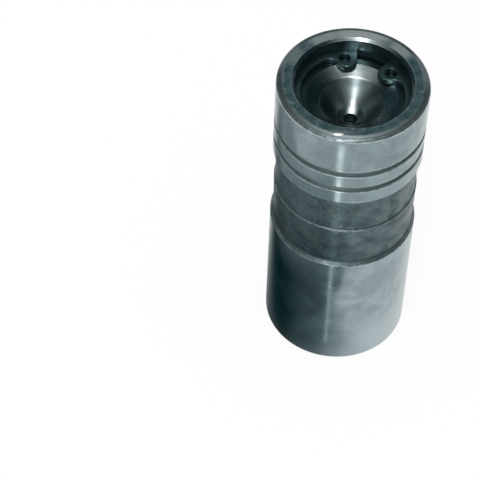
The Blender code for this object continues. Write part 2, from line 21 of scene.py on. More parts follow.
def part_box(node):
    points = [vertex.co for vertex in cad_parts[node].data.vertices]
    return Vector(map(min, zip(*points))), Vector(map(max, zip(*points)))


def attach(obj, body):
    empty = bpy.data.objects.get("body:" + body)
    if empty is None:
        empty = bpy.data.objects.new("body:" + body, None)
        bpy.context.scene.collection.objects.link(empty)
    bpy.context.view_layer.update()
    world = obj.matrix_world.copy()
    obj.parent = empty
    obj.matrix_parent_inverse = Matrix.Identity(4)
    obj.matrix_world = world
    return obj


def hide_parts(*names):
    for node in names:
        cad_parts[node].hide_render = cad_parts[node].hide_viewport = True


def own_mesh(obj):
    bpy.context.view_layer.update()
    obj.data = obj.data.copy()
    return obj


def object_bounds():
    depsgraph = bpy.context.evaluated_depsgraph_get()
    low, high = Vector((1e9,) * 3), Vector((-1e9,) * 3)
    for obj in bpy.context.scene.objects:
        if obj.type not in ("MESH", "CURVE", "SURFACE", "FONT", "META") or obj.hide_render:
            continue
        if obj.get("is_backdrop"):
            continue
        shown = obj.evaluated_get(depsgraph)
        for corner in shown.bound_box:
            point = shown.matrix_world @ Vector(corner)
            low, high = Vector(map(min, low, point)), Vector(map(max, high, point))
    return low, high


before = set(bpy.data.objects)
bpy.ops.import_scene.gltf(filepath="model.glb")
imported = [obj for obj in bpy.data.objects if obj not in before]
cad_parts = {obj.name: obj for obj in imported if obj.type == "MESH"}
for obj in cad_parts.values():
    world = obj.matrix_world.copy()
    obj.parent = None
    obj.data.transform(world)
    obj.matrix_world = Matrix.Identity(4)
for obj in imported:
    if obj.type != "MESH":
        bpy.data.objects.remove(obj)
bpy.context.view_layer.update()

MM = 0.001
LOG = logging.getLogger("lifter")

Pair = tuple[float, float]
Triple = tuple[float, float, float]
Colour = Triple


class Value:
    """A shader node's output, which takes part in sums as a number or a vector would."""

    def __init__(self, nodes: "Nodes", socket: bpy.types.NodeSocket) -> None:
        """Wraps one output socket of a tree."""
        self.nodes = nodes
        self.socket = socket

    @property
    def is_vector(self) -> bool:
        """Whether the socket carries a vector."""
        return self.socket.type == "VECTOR"

    def _with(self, operation: str, first: Any, second: Any) -> "Value":
        """Adds the Math or Vector Math node of one operation.

        Args:
            operation: The operation's name in Blender, the same for both kinds of node.
            first: The left operand, a Value, a number or a tuple.
            second: The right operand.

        Returns:
            The result.
        """
        vector = any(isinstance(side, tuple) or getattr(side, "is_vector", False) for side in (first, second))
        if not vector:
            return self.nodes.add("ShaderNodeMath", {"operation": operation}, {0: first, 1: second})
        sides = [(side,) * 3 if isinstance(side, (int, float)) else side for side in (first, second)]
        return self.nodes.add("ShaderNodeVectorMath", {"operation": operation}, {0: sides[0], 1: sides[1]})

    def __add__(self, other: Any) -> "Value":
        """Sum."""
        return self._with("ADD", self, other)

    def __radd__(self, other: Any) -> "Value":
        """Sum with the Value on the right."""
        return self._with("ADD", other, self)

    def __sub__(self, other: Any) -> "Value":
        """Difference."""
        return self._with("SUBTRACT", self, other)

    def __rsub__(self, other: Any) -> "Value":
        """Difference with the Value on the right."""
        return self._with("SUBTRACT", other, self)

    def __mul__(self, other: Any) -> "Value":
        """Product."""
        return self._with("MULTIPLY", self, other)

    def __pow__(self, other: Any) -> "Value":
        """Power."""
        return self._with("POWER", self, other)

    def __abs__(self) -> "Value":
        """Size without its sign."""
        return self._with("ABSOLUTE", self, 0.0)

    def larger(self, other: Any) -> "Value":
        """The larger of two numbers."""
        return self._with("MAXIMUM", self, other)

    def step(self, low: float, high: float) -> "Value":
        """Rises smoothly from 0 to 1.

        Args:
            low: The value below which the result is 0.
            high: The value above which it is 1. It may be the lower one, which turns the step round.

        Returns:
            The share between them.
        """
        limits = {0: self, 1: min(low, high), 2: max(low, high), 3: float(low > high), 4: float(low < high)}
        return self.nodes.add("ShaderNodeMapRange", {"interpolation_type": "SMOOTHSTEP"}, limits)


class Nodes:
    """A node tree that is filled by the finishes and the studio."""

    NOISE_MIDDLE: ClassVar[float] = 0.5
    FACE_LINES: ClassVar[float] = 1.37
    HAIR_STRETCH: ClassVar[Triple] = (1.0, 1.0, 0.006)
    HAIR_SPACING: ClassVar[float] = 1.3
    HAIR_PATCH_SIZE: ClassVar[float] = 1.9
    HAIR_PATCH_RIM: ClassVar[Pair] = (0.54, 0.66)
    SPECK_FADE: ClassVar[float] = 0.7
    SPECK_RIM: ClassVar[Pair] = (0.32, 0.12)
    SPOT_RIM: ClassVar[Pair] = (1.0, 0.35)

    def __init__(self, tree: bpy.types.NodeTree) -> None:
        """Empties the tree."""
        self.tree = tree
        tree.nodes.clear()

    def add(
        self,
        kind: str,
        settings: dict[str, Any] | None = None,
        sockets: dict[str | int, Any] | None = None,
        output: str | int = 0,
    ) -> Value:
        """Adds one node.

        Args:
            kind: The node's type.
            settings: Its properties by name, which are set first.
            sockets: Its inputs by name or number, each a Value to link or a constant.
            output: Which output to return.

        Returns:
            That output.
        """
        node = self.tree.nodes.new(kind)
        for name, setting in (settings or {}).items():
            setattr(node, name, setting)
        for key, value in (sockets or {}).items():
            if isinstance(value, Value):
                self.tree.links.new(value.socket, node.inputs[key])
            else:
                node.inputs[key].default_value = value
        return Value(self, node.outputs[output]) if node.outputs else Value(self, node.inputs[0])

    def place(self) -> Value:
        """The point's place on its piece, in millimetres."""
        return self.add("ShaderNodeTexCoord", output="Object") * (1 / MM)

    def parts(self, vector: Value) -> tuple[Value, Value, Value]:
        """The three parts of a vector."""
        split = self.add("ShaderNodeSeparateXYZ", sockets={0: vector}).socket.node
        return tuple(Value(self, split.outputs[axis]) for axis in range(3))

    def length(self, vector: Value) -> Value:
        """The length of a vector."""
        return self.add("ShaderNodeVectorMath", {"operation": "LENGTH"}, {0: vector}, 1)

    def reach(self, vector: Value, direction: Triple) -> Value:
        """How far a vector reaches along a direction."""
        return self.add("ShaderNodeVectorMath", {"operation": "DOT_PRODUCT"}, {0: vector, 1: direction}, 1)

    def noise(self, vector: Value, size: float, detail: float = 3.0, rough: float = 0.5) -> Value:
        """Cloudy noise.

        Args:
            vector: Where it is read.
            size: The width of its largest clouds, in the vector's own units.
            detail: How many finer layers it has.
            rough: How strong the finer layers are.

        Returns:
            A number around 0.5.
        """
        return self.add(
            "ShaderNodeTexNoise",
            sockets={"Vector": vector, "Scale": 1 / size, "Detail": detail, "Roughness": rough},
        )

    def tool_lines(self, place: Value, pitch: float, wander: float = 0.05) -> Value:
        """Fine lines that run round the lifter's axis, on its walls and on its faces alike.

        Args:
            place: The point's place in millimetres.
            pitch: The distance between the lines.
            wander: How fast the lines change on their way round.

        Returns:
            A number around 0.5.
        """
        x, y, z = self.parts(place)
        across = z + (x * x + y * y) ** 0.5 * self.FACE_LINES
        round_about = {0: x * wander, 1: y * wander, 2: across * (1 / pitch)}
        return self.noise(self.add("ShaderNodeCombineXYZ", sockets=round_about), 1.0, 2.0)

    def hairlines(self, place: Value, tilt: Triple, width: float) -> Value:
        """Long thin scratches along one direction.

        Args:
            place: The point's place in millimetres.
            tilt: The angles that turn the scratches away from Z.
            width: The share of the noise that they take up.

        Returns:
            1 on a scratch and 0 beside it.
        """
        angles = tuple(math.radians(angle) for angle in tilt)
        turned = self.add("ShaderNodeVectorRotate", {"rotation_type": "EULER_XYZ"}, {0: place, 4: angles})
        stretched = self.noise(turned * self.HAIR_STRETCH, self.HAIR_SPACING, 1.0)
        patches = self.noise(place, self.HAIR_PATCH_SIZE, 1.0).step(*self.HAIR_PATCH_RIM)
        return abs(stretched - self.NOISE_MIDDLE).step(width, 0.0) * patches

    def specks(self, place: Value, size: float, share: float) -> Value:
        """Small round spots.

        Args:
            place: The point's place in millimetres.
            size: The distance between possible spots.
            share: The share of them that shows.

        Returns:
            1 in a spot and 0 beside it.
        """
        cells = self.add("ShaderNodeTexVoronoi", sockets={"Vector": place, "Scale": 1 / size}).socket.node
        chance = self.parts(Value(self, cells.outputs["Color"]))[0]
        chosen = chance.step(1 - share, 1 - share * self.SPECK_FADE)
        return Value(self, cells.outputs["Distance"]).step(*self.SPECK_RIM) * chosen

    def spot(self, place: Value, centre: Triple, half: Triple) -> Value:
        """A soft patch at one place.

        Args:
            place: The point's place in millimetres.
            centre: The patch's middle.
            half: Its reach along X, Y and Z.

        Returns:
            1 in its middle, falling to 0 at its edge.
        """
        away = (place - centre) * tuple(1 / reach for reach in half)
        return self.length(away).step(*self.SPOT_RIM)

    def blend(self, share: Any, first: Any, second: Any) -> Value:
        """Mixes two colours.

        Args:
            share: How much of the second, from 0 to 1.
            first: A colour or a Value.
            second: The other one.

        Returns:
            The mixed colour.
        """
        ends = [(*side, 1.0) if isinstance(side, tuple) else side for side in (first, second)]
        sockets = {0: share, 6: ends[0], 7: ends[1]}
        return self.add("ShaderNodeMix", {"data_type": "RGBA", "clamp_factor": True}, sockets, 2)

    def surface(self, shader: Value) -> None:
        """Ends a material's tree with its surface."""
        self.add("ShaderNodeOutputMaterial", sockets={"Surface": shader})

    def glow(self, colour: Value) -> None:
        """Ends a material's tree with plain light of one colour."""
        self.surface(self.add("ShaderNodeEmission", sockets={"Color": colour}))


def new_paint(name: str) -> tuple[bpy.types.Material, Nodes]:
    """A new material and its node tree, emptied.

    Args:
        name: The material's name.

    Returns:
        The material and its tree.
    """
    made = bpy.data.materials.new(name)
    made.use_nodes = True
    return made, Nodes(made.node_tree)


@dataclass(frozen=True)
class Mark:
    """A soft patch painted into a finish's colour at one place, given as on a map of the lifter's surface.
    Most marks are painted highlights, painted reflections or painted shade.
    """

    azimuth: float
    radius: float
    height: float
    half: Triple
    colour: Colour
    strength: float = 1.0

    @property
    def centre(self) -> Triple:
        """The mark's middle in the frame, in millimetres."""
        angle = math.radians(self.azimuth)
        return (self.radius * math.cos(angle), self.radius * math.sin(angle), self.height)


@dataclass(frozen=True)
class Steel:
    """The finish of one steel surface. Depths are in millimetres, like the other lengths."""

    HAIRLINES: ClassVar[tuple[tuple[Triple, float], ...]] = (
        ((24, 8, 0), 0.012),
        ((-62, 30, 0), 0.01),
    )
    STAIN_SHIFT: ClassVar[Triple] = (7.3, 1.9, 4.1)
    STAIN_SIZE: ClassVar[float] = 0.8
    STAIN_RIM: ClassVar[Pair] = (0.5, 0.68)
    STAIN_SHARE: ClassVar[float] = 0.7
    BAND_STRETCH: ClassVar[Triple] = (1.0, 1.0, 0.03)
    BAND_SIZE: ClassVar[float] = 1.8
    SPECK_SPACING: ClassVar[float] = 0.55
    RUB_SIZE: ClassVar[float] = 1.1
    RUB_RIM: ClassVar[Pair] = (0.36, 0.6)
    RUB_POLISH: ClassVar[float] = 0.1
    CORNER_SHADE_SHARE: ClassVar[float] = 0.5
    CORNER_SHADE_TONE: ClassVar[float] = 0.3
    LINE_ROUGHNESS: ClassVar[float] = 0.06
    MOTTLE_ROUGHNESS: ClassVar[float] = 0.3
    MOTTLE_DEPTH: ClassVar[float] = 0.004
    HAIRLINE_DEPTH: ClassVar[float] = 0.0008
    OIL_ROUGHNESS: ClassVar[float] = 0.12

    name: str
    clean: Colour
    dull: Colour
    roughness: float
    dull_roughness: float
    metallic: float = 1.0
    cloud_size: float = 4.0
    clouds: Pair = (0.4, 0.65)
    line_pitch: float = 0.16
    line_depth: float = 0.0006
    line_contrast: float = 0.25
    anisotropy: float = 0.0
    band_contrast: float = 0.0
    mottle: float = 0.0
    mottle_size: float = 0.5
    hairline_gain: float = 0.3
    speck_share: float = 0.0
    speck_colour: Colour = (0.05, 0.06, 0.06)
    stain: Colour | None = None
    worn: Colour = (0.62, 0.67, 0.69)
    wear: float = 0.5
    oil: float = 0.0
    marks: tuple[Mark, ...] = ()

    def material(self) -> bpy.types.Material:
        """The finish as a material, made on first use."""
        made = bpy.data.materials.get(self.name)
        return made if made else self._paint()

    def _paint(self) -> bpy.types.Material:
        """Builds the material's nodes.

        Returns:
            The new material.
        """
        made, nodes = new_paint(self.name)
        place = nodes.place()
        cloudy = nodes.noise(place, self.cloud_size, 5.0, 0.6).step(*self.clouds)
        lines = nodes.tool_lines(place, self.line_pitch)
        fine = nodes.noise(place, self.mottle_size, 4.0, 0.65)
        one_way, other_way = (nodes.hairlines(place, tilt, width) for tilt, width in self.HAIRLINES)
        scratched = one_way + other_way
        line_swing = lines - nodes.NOISE_MIDDLE
        fine_swing = fine - nodes.NOISE_MIDDLE

        colour = nodes.blend(cloudy, self.clean, self.dull)
        if self.stain:
            stained = nodes.noise(place + self.STAIN_SHIFT, self.cloud_size * self.STAIN_SIZE, 4.0, 0.65)
            stained = stained.step(*self.STAIN_RIM)
            colour = nodes.blend(stained * self.STAIN_SHARE, colour, self.stain)
        shade = 1 + line_swing * self.line_contrast + fine_swing * self.mottle
        if self.band_contrast:
            bands = nodes.noise(place * self.BAND_STRETCH, self.BAND_SIZE, 4.0, 0.6)
            shade = shade + (bands - nodes.NOISE_MIDDLE) * self.band_contrast
        shades = nodes.add("ShaderNodeCombineXYZ", sockets={0: shade, 1: shade, 2: shade})
        colour = nodes.blend(1.0, (0.0, 0.0, 0.0), colour) * shades
        colour = nodes.blend(scratched * self.hairline_gain, colour, self.worn)
        if self.speck_share:
            spotted = nodes.specks(place, self.SPECK_SPACING, self.speck_share)
            colour = nodes.blend(spotted, colour, self.speck_colour)
        edge = nodes.add("ShaderNodeAttribute", {"attribute_name": Turned.EDGE}, output="Fac")
        bare = nodes.noise(place, self.RUB_SIZE, 4.0, 0.7).step(*self.RUB_RIM)
        rubbed = edge.larger(0.0) * bare * self.wear
        # Painted shade: concave edges are darkened towards the dull colour.
        corner_shade = (0.0 - edge).larger(0.0) * self.CORNER_SHADE_SHARE
        colour = nodes.blend(rubbed, colour, self.worn)
        colour = nodes.blend(corner_shade, colour, tuple(part * self.CORNER_SHADE_TONE for part in self.dull))
        # The marks are painted into the base colour: most are painted highlights, painted reflections or
        # painted shade.
        for mark in self.marks:
            reached = nodes.spot(place, mark.centre, mark.half) * mark.strength
            colour = nodes.blend(reached, colour, mark.colour)

        rough = self.roughness + cloudy * (self.dull_roughness - self.roughness)
        rough = rough + line_swing * self.LINE_ROUGHNESS
        rough = rough + fine_swing * self.mottle * self.MOTTLE_ROUGHNESS - rubbed * self.RUB_POLISH
        depth = lines * self.line_depth + fine * self.mottle * self.MOTTLE_DEPTH
        depth = depth - scratched * self.HAIRLINE_DEPTH
        raised = nodes.add("ShaderNodeBump", sockets={"Strength": 1.0, "Distance": MM, "Height": depth})
        steel = nodes.add(
            "ShaderNodeBsdfPrincipled",
            sockets={
                "Base Color": colour,
                "Metallic": self.metallic,
                "Roughness": rough,
                "Anisotropic": self.anisotropy,
                "Coat Weight": self.oil,
                "Coat Roughness": self.OIL_ROUGHNESS,
                "Normal": raised,
            },
        )
        nodes.surface(steel)
        return made


# Painted shade: the lands get a darker copy of the wall's ground steel, and their mark paints shade on their
# right-hand edge.
LAND = Steel(
    "land_finish",
    clean=(0.24, 0.31, 0.325),
    dull=(0.195, 0.255, 0.27),
    roughness=0.19,
    dull_roughness=0.25,
    anisotropy=0.75,
    band_contrast=0.5,
    mottle=0.16,
    mottle_size=0.35,
    marks=(Mark(-12.0, 10.69, 40.2, (2.4, 5.4, 3.0), (0.09, 0.13, 0.135), 0.85),),
)
GROUND = Steel(
    "wall_finish",
    clean=(0.235, 0.3, 0.32),
    dull=(0.335, 0.41, 0.435),
    roughness=0.2,
    dull_roughness=0.27,
    cloud_size=5.0,
    anisotropy=0.7,
    band_contrast=0.3,
    mottle=0.18,
    mottle_size=0.4,
    # Painted light: the two light patches low on the front are painted reflections, and the dark one at the
    # top of the right-hand edge is painted shade.
    marks=(
        Mark(-62.0, 10.69, 1.0, (9.5, 9.5, 11.0), (0.42, 0.49, 0.51), 0.7),
        Mark(-82.0, 10.69, 14.2, (2.6, 2.0, 0.9), (0.4, 0.48, 0.5), 0.5),
        Mark(-5.0, 10.69, 23.0, (1.6, 4.6, 4.5), (0.12, 0.16, 0.165), 0.7),
    ),
)
FOOT = Steel(
    "cam_face_finish",
    clean=(0.5, 0.55, 0.57),
    dull=(0.44, 0.5, 0.52),
    roughness=0.32,
    dull_roughness=0.4,
    line_contrast=0.12,
    line_depth=0.0003,
)
GROOVE = Steel(
    "groove_finish",
    clean=(0.172, 0.224, 0.229),
    dull=(0.138, 0.183, 0.188),
    roughness=0.46,
    dull_roughness=0.56,
    metallic=0.5,
    mottle=0.3,
    wear=0.3,
)
SCALE = Steel(
    "scale_finish",
    clean=(0.102, 0.152, 0.163),
    dull=(0.06, 0.095, 0.103),
    roughness=0.4,
    dull_roughness=0.52,
    cloud_size=2.4,
    clouds=(0.36, 0.66),
    line_contrast=0.4,
    mottle=1.3,
    mottle_size=0.42,
    stain=(0.125, 0.148, 0.145),
    speck_share=0.1,
    hairline_gain=0.5,
    worn=(0.33, 0.38, 0.39),
    wear=0.8,
)
SHOULDER = Steel(
    "shoulder_finish",
    clean=(0.125, 0.168, 0.174),
    dull=(0.085, 0.12, 0.126),
    roughness=0.42,
    dull_roughness=0.5,
    metallic=0.8,
    cloud_size=1.0,
    mottle=0.9,
    mottle_size=0.35,
    wear=0.3,
)
STEP = Steel(
    "step_finish",
    clean=(0.13, 0.17, 0.175),
    dull=(0.09, 0.125, 0.13),
    roughness=0.44,
    dull_roughness=0.52,
    metallic=0.75,
    cloud_size=1.0,
    mottle=0.5,
    wear=0.3,
)
# A painted highlight in white on the rim's front edge, used by both the rim and its chamfer.
PAINTED_GLINT = Mark(-102.6, 9.84, 50.78, (0.95, 0.3, 0.4), (1.0, 1.0, 1.0))
RIM = Steel(
    "rim_finish",
    clean=(0.09, 0.152, 0.162),
    dull=(0.045, 0.095, 0.105),
    roughness=0.34,
    dull_roughness=0.42,
    metallic=0.6,
    cloud_size=1.3,
    mottle=1.5,
    mottle_size=0.35,
    hairline_gain=0.4,
    speck_share=0.04,
    speck_colour=(0.32, 0.38, 0.39),
    wear=0.2,
    marks=(
        # Lighter patches on the rim, partly worn steel and partly painted highlights; the narrow one at -171
        # is a scratch.
        Mark(80.0, 9.2, 50.8, (6.4, 2.4, 1.0), (0.56, 0.59, 0.6), 0.8),
        Mark(118.0, 9.3, 50.8, (2.9, 2.2, 1.0), (0.5, 0.55, 0.56), 0.6),
        Mark(43.0, 9.3, 50.8, (2.6, 2.6, 1.0), (0.5, 0.54, 0.55), 0.6),
        Mark(150.0, 9.4, 50.8, (1.8, 2.6, 1.0), (0.28, 0.33, 0.34), 0.6),
        Mark(-104.0, 9.55, 50.8, (3.4, 0.55, 1.0), (0.3, 0.35, 0.36), 0.5),
        Mark(-171.0, 9.9, 50.8, (0.9, 0.1, 0.5), (0.6, 0.66, 0.67), 0.45),
        PAINTED_GLINT,
    ),
)
CHAMFER = Steel(
    "chamfer_finish",
    clean=(0.14, 0.175, 0.18),
    dull=(0.1, 0.13, 0.135),
    roughness=0.3,
    dull_roughness=0.38,
    metallic=0.75,
    cloud_size=1.4,
    mottle=0.5,
    mottle_size=0.35,
    wear=0.2,
    marks=(
        # Painted highlights: the light band along the front and the lighter patches on both sides, with the
        # glint.
        Mark(-95.0, 9.0, 50.74, (13.0, 13.0, 0.13), (0.24, 0.285, 0.29), 0.9),
        Mark(18.0, 10.25, 50.63, (2.4, 5.4, 0.6), (0.4, 0.46, 0.47), 0.9),
        Mark(152.0, 10.25, 50.63, (2.8, 4.6, 0.6), (0.4, 0.46, 0.47), 0.85),
        PAINTED_GLINT,
    ),
)
MOUTH = Steel(
    "mouth_finish",
    clean=(0.36, 0.4, 0.41),
    dull=(0.26, 0.31, 0.32),
    roughness=0.24,
    dull_roughness=0.32,
    cloud_size=1.6,
    wear=0.7,
)
# The bore's steel is darker than the outer walls, as oiled steel and as painted shade. Its marks are painted
# highlights on the rear wall.
BORE = Steel(
    "bore_finish",
    clean=(0.09, 0.142, 0.15),
    dull=(0.052, 0.09, 0.098),
    roughness=0.34,
    dull_roughness=0.44,
    line_contrast=0.35,
    wear=0.1,
    marks=(
        Mark(83.0, 8.13, 49.4, (2.6, 1.2, 2.2), (0.38, 0.46, 0.48), 0.8),
        Mark(80.0, 8.13, 48.95, (0.42, 0.4, 0.3), (1.0, 1.0, 1.0), 0.9),
    ),
)
# Painted shade: the ring's groove and the walls of the ring's holes get a steel darker than the bore.
NOOK = Steel(
    "ring_groove_finish",
    clean=(0.07, 0.11, 0.117),
    dull=(0.045, 0.075, 0.08),
    roughness=0.5,
    dull_roughness=0.6,
    wear=0.0,
)
STAMPED = Steel(
    "ring_face_finish",
    clean=(0.14, 0.21, 0.22),
    dull=(0.09, 0.15, 0.16),
    roughness=0.34,
    dull_roughness=0.42,
    cloud_size=1.5,
    line_contrast=0.0,
    mottle=0.4,
    mottle_size=0.3,
    wear=0.0,
    oil=0.2,
    # The mark is a painted highlight on the ring's right eye.
    marks=(Mark(39.6, 7.04, 48.57, (0.34, 0.22, 0.3), (1.0, 1.0, 1.0), 0.9),),
)
STAMPED_EDGE = Steel(
    "ring_edge_finish",
    clean=(0.16, 0.215, 0.225),
    dull=(0.09, 0.14, 0.15),
    roughness=0.28,
    dull_roughness=0.36,
    cloud_size=0.9,
    line_contrast=0.0,
    wear=0.0,
)
SEAT_LAND = Steel(
    "seat_land_finish",
    clean=(0.075, 0.11, 0.115),
    dull=(0.05, 0.08, 0.085),
    roughness=0.32,
    dull_roughness=0.4,
    cloud_size=2.0,
    mottle=0.2,
    wear=0.0,
)
# A painted highlight along the rear of the socket's crest, used by both the dish and the socket.
PAINTED_CREST_HIGHLIGHT = Mark(80.0, 4.5, 46.86, (3.2, 1.3, 0.1), (0.6, 0.65, 0.66), 0.8)
DISH = Steel(
    "dish_finish",
    clean=(0.25, 0.29, 0.295),
    dull=(0.2, 0.24, 0.245),
    roughness=0.24,
    dull_roughness=0.3,
    cloud_size=2.0,
    mottle=0.25,
    hairline_gain=0.1,
    wear=0.1,
    marks=(
        # Painted shade across the front, a painted reflection on the right, painted shade behind the crest,
        # and the crest's painted highlight.
        Mark(-90.0, 5.3, 47.2, (6.6, 3.6, 2.0), (0.028, 0.048, 0.051), 0.95),
        Mark(2.0, 5.5, 47.2, (1.7, 3.0, 1.5), (0.52, 0.66, 0.68), 0.65),
        Mark(76.0, 6.0, 47.5, (1.9, 0.7, 0.5), (0.14, 0.17, 0.175), 0.7),
        PAINTED_CREST_HIGHLIGHT,
    ),
)
# A painted highlight low on the rear of the socket's bowl, used by both the socket and the bowl.
PAINTED_DEEP_HIGHLIGHT = Mark(80.0, 1.8, 43.3, (1.05, 1.7, 1.7), (0.8, 0.84, 0.85), 0.88)
SOCKET = Steel(
    "socket_finish",
    clean=(0.35, 0.4, 0.408),
    dull=(0.3, 0.35, 0.358),
    roughness=0.28,
    dull_roughness=0.33,
    line_contrast=0.12,
    anisotropy=0.2,
    hairline_gain=0.1,
    wear=0.1,
    marks=(
        # Painted shade below the crest at the rear, across the front and on both sides, with the painted
        # highlights.
        Mark(80.0, 4.2, 46.3, (2.8, 1.2, 1.0), (0.17, 0.21, 0.215), 0.85),
        PAINTED_DEEP_HIGHLIGHT,
        Mark(-90.0, 3.2, 45.0, (6.0, 3.6, 3.6), (0.03, 0.05, 0.053), 0.94),
        Mark(180.0, 3.5, 45.0, (2.9, 3.6, 3.6), (0.03, 0.055, 0.058), 0.92),
        Mark(-4.0, 3.4, 44.6, (2.5, 2.2, 3.2), (0.06, 0.09, 0.093), 0.8),
        PAINTED_CREST_HIGHLIGHT,
    ),
)
BOWL = Steel(
    "bowl_finish",
    clean=(0.35, 0.4, 0.408),
    dull=(0.3, 0.35, 0.358),
    roughness=0.28,
    dull_roughness=0.33,
    line_contrast=0.12,
    anisotropy=0.2,
    hairline_gain=0.1,
    marks=(
        # The painted highlight at the rear, with painted shade at the front and on both sides.
        PAINTED_DEEP_HIGHLIGHT,
        Mark(-90.0, 1.8, 43.2, (3.4, 2.6, 2.0), (0.04, 0.06, 0.063), 0.92),
        Mark(175.0, 2.0, 43.2, (1.7, 2.2, 2.0), (0.03, 0.055, 0.058), 0.92),
        Mark(10.0, 2.0, 43.2, (1.3, 2.0, 2.0), (0.06, 0.09, 0.093), 0.85),
    ),
)
LAPPED = Steel(
    "lapped_finish",
    clean=(0.5, 0.53, 0.54),
    dull=(0.42, 0.45, 0.46),
    roughness=0.18,
    dull_roughness=0.26,
    anisotropy=0.5,
)
SHEET = Steel(
    "sheet_finish",
    clean=(0.4, 0.41, 0.42),
    dull=(0.3, 0.32, 0.33),
    roughness=0.3,
    dull_roughness=0.4,
    cloud_size=1.2,
    line_contrast=0.1,
)
BEARING = Steel(
    "ball_finish",
    clean=(0.62, 0.63, 0.64),
    dull=(0.57, 0.59, 0.6),
    roughness=0.07,
    dull_roughness=0.12,
    line_contrast=0.03,
    line_depth=0.0001,
    hairline_gain=0.1,
)
WIRE = Steel(
    "wire_finish",
    clean=(0.42, 0.42, 0.42),
    dull=(0.28, 0.29, 0.3),
    roughness=0.26,
    dull_roughness=0.36,
    cloud_size=1.6,
    line_contrast=0.1,
    wear=0.0,
    oil=0.2,
)


@dataclass(frozen=True)
class Corner:
    """A corner of a turned profile. The finish is that of the run that leaves it."""

    radius: float
    height: float
    rounding: float
    finish: Steel

    @property
    def point(self) -> Vector:
        """The corner in the profile's plane."""
        return Vector((self.radius, self.height))


def run(finish: Steel, rounding: float, *points: Pair) -> list[Corner]:
    """Corners that share a finish and a rounding.

    Args:
        finish: The finish of the runs that leave them.
        rounding: The radius of their edges.
        points: Their places as (radius, height).

    Returns:
        The corners in order.
    """
    return [Corner(radius, height, rounding, finish) for radius, height in points]


def arc(centre: Vector, radius: float, start: float, end: float, steps: int) -> list[Pair]:
    """Points of an arc in a plane, both ends included.

    Args:
        centre: Its centre.
        radius: Its radius.
        start: The angle of its first point, in radians.
        end: The angle of its last point.
        steps: How many straight steps it has.

    Returns:
        The points in order.
    """
    angles = [start + (end - start) * step / steps for step in range(steps + 1)]
    return [(centre[0] + radius * math.cos(angle), centre[1] + radius * math.sin(angle)) for angle in angles]


class Turned:
    """A piece turned about the lifter's axis, with rounded edges that know that they are edges."""

    EDGE: ClassVar[str] = "edge"
    FADE: ClassVar[float] = 0.22
    ARC_STEP: ClassVar[float] = math.radians(12)
    ROUNDED_SHARE: ClassVar[float] = 0.42
    FADED_SHARE: ClassVar[float] = 0.48

    def __init__(self, name: str, corners: Sequence[Corner], segments: int = 256) -> None:
        """Turns a profile into an object.

        Args:
            name: The object's name.
            corners: The profile, with the steel on its left. It is a closed loop unless it starts and
                ends on the axis.
            segments: How many steps the turn has.
        """
        self.closed = not (corners[0].radius == 0.0 and corners[-1].radius == 0.0)
        self.corners = list(corners)
        self.points: list[tuple[float, float, float, Steel]] = []
        for index in range(len(self.corners)):
            self._turn_corner(index)
        self.piece = self._revolve(name, segments)

    def _turn_corner(self, index: int) -> None:
        """Adds one corner's points: itself, or a rounded edge with a fading place on each side.

        Args:
            index: The corner's number.
        """
        corner = self.corners[index]
        last = len(self.corners) - 1
        if corner.rounding == 0.0 or (not self.closed and index in (0, last)):
            self.points.append((corner.radius, corner.height, 0.0, corner.finish))
            return
        before = self.corners[index - 1]
        after = self.corners[0 if index == last else index + 1]
        back = before.point - corner.point
        onward = after.point - corner.point
        half = back.angle(onward) / 2
        room = self.ROUNDED_SHARE * min(back.length, onward.length)
        setback = min(corner.rounding / math.tan(half), room)
        radius = setback * math.tan(half)
        bisector = (back.normalized() + onward.normalized()).normalized()
        centre = corner.point + bisector * radius / math.sin(half)
        first = corner.point + back.normalized() * setback - centre
        turn = math.pi - 2 * half
        convex = back.x * onward.y - back.y * onward.x < 0
        start = math.atan2(first.y, first.x)
        steps = max(2, math.ceil(turn / self.ARC_STEP))
        outline = arc(centre, radius, start, start + (turn if convex else -turn), steps)
        fade_back = min(setback + self.FADE, self.FADED_SHARE * back.length)
        fade_on = min(setback + self.FADE, self.FADED_SHARE * onward.length)
        edge = 1.0 if convex else -1.0
        early = corner.point + back.normalized() * fade_back
        late = corner.point + onward.normalized() * fade_on
        self.points.append((early.x, early.y, 0.0, before.finish))
        for step, (across, up) in enumerate(outline):
            self.points.append((across, up, edge, before.finish if step < steps / 2 else corner.finish))
        self.points.append((late.x, late.y, 0.0, corner.finish))

    def _revolve(self, name: str, segments: int) -> bpy.types.Object:
        """Turns the points about Z.

        Args:
            name: The object's name.
            segments: How many steps the turn has.

        Returns:
            The object, shaded smooth.
        """
        verts: list[Triple] = []
        edges: list[float] = []
        rows: list[list[int]] = []
        for radius, height, edge, _ in self.points:
            count = segments if radius > 0.0 else 1
            rows.append(list(range(len(verts), len(verts) + count)))
            for step in range(count):
                angle = math.tau * step / segments
                verts.append((radius * MM * math.cos(angle), radius * MM * math.sin(angle), height * MM))
                edges.append(edge)
        finishes = list(dict.fromkeys(point[3] for point in self.points))
        faces: list[tuple[int, ...]] = []
        slots: list[int] = []
        spans = len(rows) if self.closed else len(rows) - 1
        for index in range(spans):
            low, high = rows[index], rows[(index + 1) % len(rows)]
            for step in range(segments):
                following = (step + 1) % segments
                corners = [low[step % len(low)], low[following % len(low)]]
                corners += [high[following % len(high)], high[step % len(high)]]
                faces.append(tuple(dict.fromkeys(corners)))
                slots.append(finishes.index(self.points[index][3]))
        piece = mesh_piece(name, verts, faces, [finish.material() for finish in finishes])
        piece.data.polygons.foreach_set("material_index", slots)
        attribute = piece.data.attributes.new(self.EDGE, "FLOAT", "POINT")
        attribute.data.foreach_set("value", edges)
        return piece


